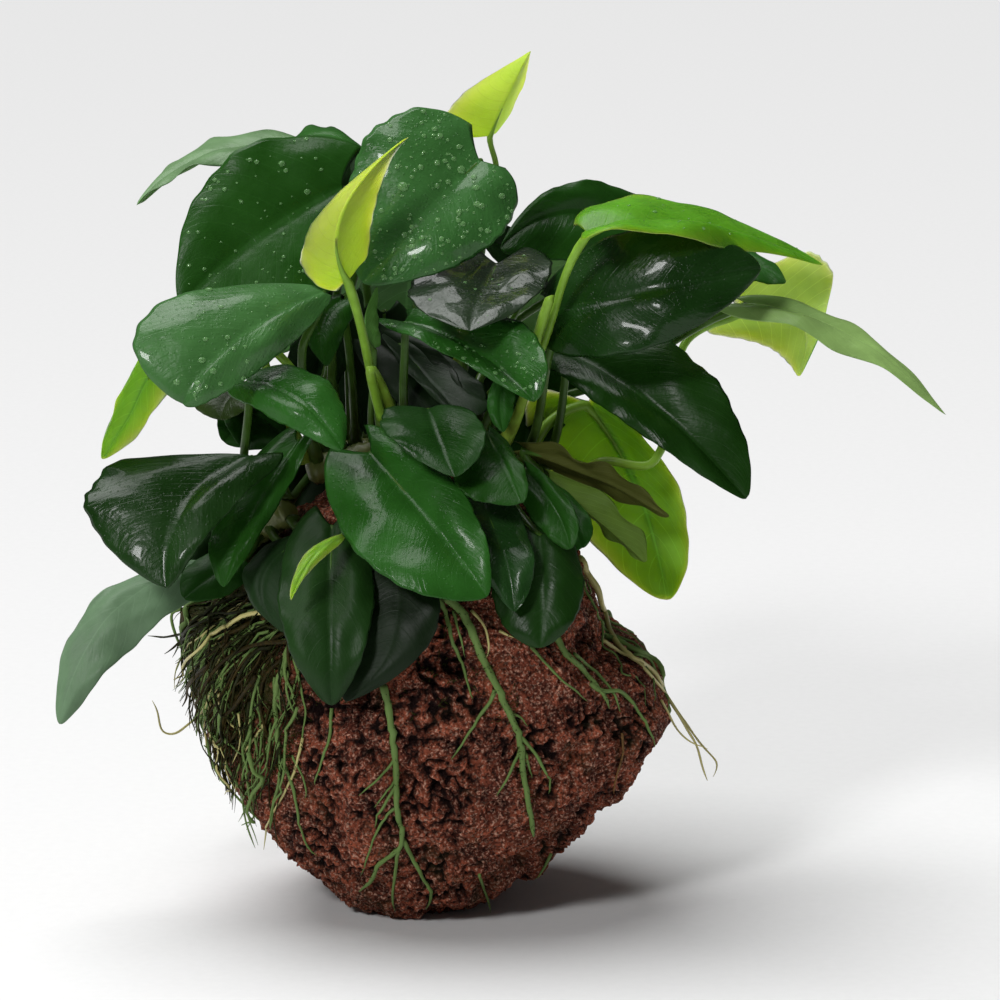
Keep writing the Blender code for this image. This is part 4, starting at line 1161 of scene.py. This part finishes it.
def make_tangle(colours, stone, strands):
    """Fine roots that sweep from the leaves' feet down the left of the stone, in many layers."""
    works = {name: bmesh.new() for name in ("root", "dark_root", "pale_root", "brown_root")}
    for k in range(strands):
        rng = seeded(f"tangle {k}")
        flow = TANGLE_FLOWS[rng.choice(len(TANGLE_FLOWS), p=[flow.share for flow in TANGLE_FLOWS])]
        u, v = rng.uniform(*flow.across), rng.uniform(*flow.down)
        headings = np.radians(rng.normal((flow.start, flow.end), 13))
        sway, beat, begin = rng.uniform((0.1, 0.5, 0), (0.45, 1.8, 2 * math.pi)) * (
            flow.curl, flow.curl, 1)
        steps = int(flow.steps * rng.uniform(0.45, 1.3))
        share = np.linspace(0, 1, steps)
        turn = headings[0] + (headings[1] - headings[0]) * share
        turn += sway * np.sin(2 * math.pi * beat * share + begin)
        pixels = np.cumsum(np.stack([np.cos(turn), np.sin(turn)], 1) * 5.0, axis=0) + (u, v)
        inside = (pixels[:, 0] > 172 + np.maximum(0, pixels[:, 1] - 690) * 0.5) & (
            pixels[:, 1] < 850)
        steps = steps if inside.all() else int(np.argmin(inside))
        if steps < 6:
            continue
        radius = float(rng.choice((0.22, 0.35, 0.5, 0.75), p=(0.3, 0.35, 0.22, 0.13)))
        lift = rng.uniform(0, 5) * rng.random() * MM
        line = draped(pixels[:steps], radius * MM, stone, lift)
        colour = str(rng.choice(tuple(works), p=(0.38, 0.34, 0.06, 0.22)))
        add_rod(works[colour], line, root_radii(line, radius, radius * 0.5, rng), 6, tint=k)
    for colour, work in works.items():
        finish_piece(work, f"tangle_{colour}", [root_material(colour, colours)], ())


def make_back_roots(colours, stone, strands):
    """Fine roots down the sides and the back, which the photograph doesn't show."""
    work = bmesh.new()
    for k in range(strands):
        rng = seeded(f"back {k}")
        angle = rng.uniform(math.radians(-20), math.radians(200))
        height = rng.uniform(0.075, 0.105)
        steps = int(rng.uniform(10, 30))
        line = []
        for _ in range(steps):
            way = Vector((math.cos(angle), math.sin(angle), 0))
            hit, normal, _, _ = stone.ray_cast(Vector((0, 0, height)) + way * 0.2, -way)
            if hit is None:
                break
            line.append(np.array(hit + normal * 0.5 * MM))
            height -= 2.2 * MM
            angle += rng.normal(0, 0.035)
            if height < 0.006:
                break
        if len(line) < 5:
            continue
        radius = float(rng.choice((0.3, 0.45, 0.7, 1.0), p=(0.4, 0.3, 0.2, 0.1)))
        line = settled(smooth_line(line, 1.5 * MM), radius * MM, stone, 0.2 * MM)
        add_rod(work, line, root_radii(line, radius, radius * 0.5, rng), 7)
    finish_piece(work, "back_roots", [root_material("root", colours)], ())


def make_moss(colours, stone, tufts):
    """Tufts of fine moss between the roots on the left and under the leaves."""
    work = bmesh.new()
    for k in range(tufts):
        rng = seeded(f"moss {k}")
        if k % 5:
            u, v = rng.uniform(208, 300), rng.uniform(600, 780)
        else:
            u, v = rng.uniform(300, 520), rng.uniform(600, 720)
        eye, ray = sight_line(u, v)
        hit, normal, _, _ = stone.ray_cast(Vector(eye), Vector(ray).normalized())
        if hit is None:
            continue
        for _ in range(int(rng.uniform(5, 12))):
            start = np.array(hit) + rng.normal(size=3) * 0.9 * MM
            way = unit(np.array(normal) * 1.1 + rng.normal(size=3) * 0.7)
            reach = rng.uniform(0.6, 1.7) * MM
            bend = rng.normal(size=3) * reach * 0.35
            spike = np.array([start, start + way * reach * 0.55, start + way * reach + bend])
            add_rod(work, spike, np.array((0.16, 0.14, 0.03)) * MM, 3)
    finish_piece(work, "moss_tufts", [bark_skin("moss", colours.moss, 0.7, 0.5)], ())


# Drops

def make_drops(leaves):
    """Water drops that sit on the wet leaves, flattened where they touch."""
    for leaf in LEAVES:
        wanted = [(*spot, True) for spot in DROPS_PX.get(leaf.name, ())]
        if not leaf.drops and not wanted:
            continue
        rng = seeded(leaf.name + " drops")
        tree = surface_of(leaves[leaf.name])
        spots = []
        for u, v, radius, _ in wanted:
            eye, ray = sight_line(u, v)
            hit, normal, _, _ = tree.ray_cast(Vector(eye), Vector(ray).normalized())
            if hit is not None:
                spots.append((hit, normal, radius * MM))
        blade = Blade(leaf)
        for _ in range(leaf.drops):
            share, across = rng.uniform(0.04, 0.92), rng.uniform(-0.95, 0.95)
            place, _, _ = blade.place(np.array([share]), np.array([across]))
            place = Vector(place[0])
            up = Vector(blade.up(np.array([share]))[0])
            hit, normal, _, _ = tree.ray_cast(place + up * 4 * MM, -up)
            if hit is not None:
                spots.append((hit, normal, min(0.2 + rng.exponential(0.22), 0.9) * MM))
        work = bmesh.new()
        for hit, normal, radius in spots:
            part = bmesh.new()
            bmesh.ops.create_uvsphere(part, u_segments=12, v_segments=7, radius=radius)
            turn = normal.to_track_quat("Z", "Y").to_matrix()
            stretch = 1 + 0.25 * rng.random()
            for vert in part.verts:
                flat = Vector((vert.co.x * stretch, vert.co.y, vert.co.z * 0.55 + radius * 0.2))
                vert.co = hit + turn @ flat
            for face in part.faces:
                face.smooth = True
            add_part(work, part)
        finish_piece(work, f"drops_on_{leaf.name}", [water_skin()], ())


# Operators

class Shared:
    """What one operator leaves for the next."""

    stone = None
    leaves = {}


class ANUBIAS_OT_stage(bpy.types.Operator):
    """Floor, lights and camera"""

    bl_idname = "anubias.stage"
    bl_label = "Floor, lights and camera"

    def execute(self, context):
        scene = context.scene
        work = bmesh.new()
        bmesh.ops.create_circle(work, cap_ends=True, radius=6, segments=96)
        mesh = bpy.data.meshes.new("floor")
        work.to_mesh(mesh)
        work.free()
        floor = bpy.data.objects.new("floor", mesh)
        mesh.materials.append(paper_skin())
        scene.collection.objects.link(floor)

        world = bpy.data.worlds.new("studio")
        world.use_nodes = True
        backdrop = world.node_tree.nodes["Background"]
        backdrop.inputs["Color"].default_value = (1, 1, 1, 1)
        backdrop.inputs["Strength"].default_value = 0.07
        scene.world = world
        target = Vector(view_target())
        overhead = bpy.data.lights.new("overhead_light", "SUN")
        overhead.energy = 3.1
        overhead.angle = math.radians(48)
        front = bpy.data.lights.new("front_softbox", "AREA")
        front.shape = "SQUARE"
        front.size = 0.35
        front.energy = 19
        for light, place in ((overhead, (-0.5, 0.35, 2)), (front, (-0.9, -1.5, 1.3))):
            lamp = bpy.data.objects.new(light.name, light)
            lamp.location = place
            lamp.rotation_euler = (target - lamp.location).to_track_quat("-Z", "Y").to_euler()
            scene.collection.objects.link(lamp)

        lens = bpy.data.cameras.new("camera")
        lens.sensor_width = SENSOR_MM
        lens.lens = SENSOR_MM * VIEW_DISTANCE / (PICTURE_WIDTH * PIXEL)
        lens.clip_start = 0.01
        camera = bpy.data.objects.new("camera", lens)
        camera.location = sight_line(*CENTRE_PX)[0]
        camera.rotation_euler = (math.pi / 2 - VIEW_TILT, 0, 0)
        scene.collection.objects.link(camera)
        scene.camera = camera
        scene.view_settings.view_transform = "Standard"
        return {"FINISHED"}


class ANUBIAS_OT_stone(bpy.types.Operator):
    """Lava stone with its pores"""

    bl_idname = "anubias.stone"
    bl_label = "Lava stone"

    def execute(self, context):
        scene = context.scene
        piece = make_stone(scene.plant_colours, scene.plant_sizes)
        Shared.stone = surface_of(piece)
        return {"FINISHED"}


class ANUBIAS_OT_rhizomes(bpy.types.Operator):
    """Creeping stems with leaf scars"""

    bl_idname = "anubias.rhizomes"
    bl_label = "Rhizomes"

    def execute(self, context):
        colours = context.scene.plant_colours
        for name, (low, high) in rhizome_ends().items():
            rng = seeded("rhizome " + name)
            count = 40
            share = np.linspace(0, 1, count)
            line = low + (high - low) * share[:, None]
            radii = RHIZOME_RADIUS * np.clip(np.minimum(share, 1 - share) * 9 + 0.55, 0, 1)
            radii *= 0.92 + 0.07 * np.abs(np.sin(share * 24))
            turn = np.linspace(0, 2 * math.pi, 21)
            swell = [1 + 0.05 * np.sin(3 * turn + rng.uniform(0, 6)) for _ in range(count)]
            work = bmesh.new()
            add_rod(work, line, radii, 20, swell=swell)
            finish_piece(work, f"rhizome_{name}_look",
                         [bark_skin("rhizome", colours.rhizome, 0.45, 1.2)],
                         ["rhizome_" + name])
        return {"FINISHED"}


class ANUBIAS_OT_leaves(bpy.types.Operator):
    """Leaves with their stems"""

    bl_idname = "anubias.leaves"
    bl_label = "Leaves"

    def execute(self, context):
        scene = context.scene
        rhizomes = rhizome_ends()
        for leaf in LEAVES + INNER_LEAVES:
            Shared.leaves[leaf.name] = make_leaf(
                leaf, rhizomes, scene.plant_colours, scene.plant_sizes)
        return {"FINISHED"}


class ANUBIAS_OT_roots(bpy.types.Operator):
    """Main roots, their side roots and hairs"""

    bl_idname = "anubias.roots"
    bl_label = "Roots"

    def execute(self, context):
        if Shared.stone is None:
            raise RuntimeError("Build the stone before its roots")
        colours = context.scene.plant_colours
        groups = make_roots(colours, Shared.stone)
        make_root_hairs(groups, colours)
        return {"FINISHED"}


class ANUBIAS_OT_tangle(bpy.types.Operator):
    """Fine roots and moss"""

    bl_idname = "anubias.tangle"
    bl_label = "Fine roots and moss"

    def execute(self, context):
        if Shared.stone is None:
            raise RuntimeError("Build the stone before its roots")
        scene = context.scene
        make_tangle(scene.plant_colours, Shared.stone, scene.plant_sizes.strands)
        make_back_roots(scene.plant_colours, Shared.stone, BACK_STRANDS)
        make_moss(scene.plant_colours, Shared.stone, scene.plant_sizes.tufts)
        return {"FINISHED"}


class ANUBIAS_OT_drops(bpy.types.Operator):
    """Water drops on the wet leaves"""

    bl_idname = "anubias.drops"
    bl_label = "Water drops"

    def execute(self, context):
        if not Shared.leaves:
            raise RuntimeError("Build the leaves before their drops")
        make_drops(Shared.leaves)
        return {"FINISHED"}


OPERATORS = (
    ANUBIAS_OT_stage, ANUBIAS_OT_stone, ANUBIAS_OT_rhizomes, ANUBIAS_OT_leaves,
    ANUBIAS_OT_roots, ANUBIAS_OT_tangle, ANUBIAS_OT_drops,
)


class ANUBIAS_PT_panel(bpy.types.Panel):
    """Sizes, colours and pieces of the plant"""

    bl_idname = "ANUBIAS_PT_panel"
    bl_label = "Anubias on stone"
    bl_space_type = "VIEW_3D"
    bl_region_type = "UI"
    bl_category = "Anubias"

    def draw(self, context):
        for group in (context.scene.plant_sizes, context.scene.plant_colours):
            box = self.layout.box()
            for name in group.__annotations__:
                box.prop(group, name)
        for operator in OPERATORS:
            self.layout.operator(operator.bl_idname)


CLASSES = (PlantColours, PlantSizes, *OPERATORS, ANUBIAS_PT_panel)


def register():
    for kind in CLASSES:
        bpy.utils.register_class(kind)
    bpy.types.Scene.plant_colours = PointerProperty(type=PlantColours)
    bpy.types.Scene.plant_sizes = PointerProperty(type=PlantSizes)


def unregister():
    del bpy.types.Scene.plant_colours
    del bpy.types.Scene.plant_sizes
    for kind in reversed(CLASSES):
        bpy.utils.unregister_class(kind)


def main():
    register()
    bpy.ops.anubias.stage()
    bpy.ops.anubias.stone()
    bpy.ops.anubias.rhizomes()
    bpy.ops.anubias.leaves()
    bpy.ops.anubias.roots()
    bpy.ops.anubias.tangle()
    bpy.ops.anubias.drops()


if __name__ == "__main__":
    main()
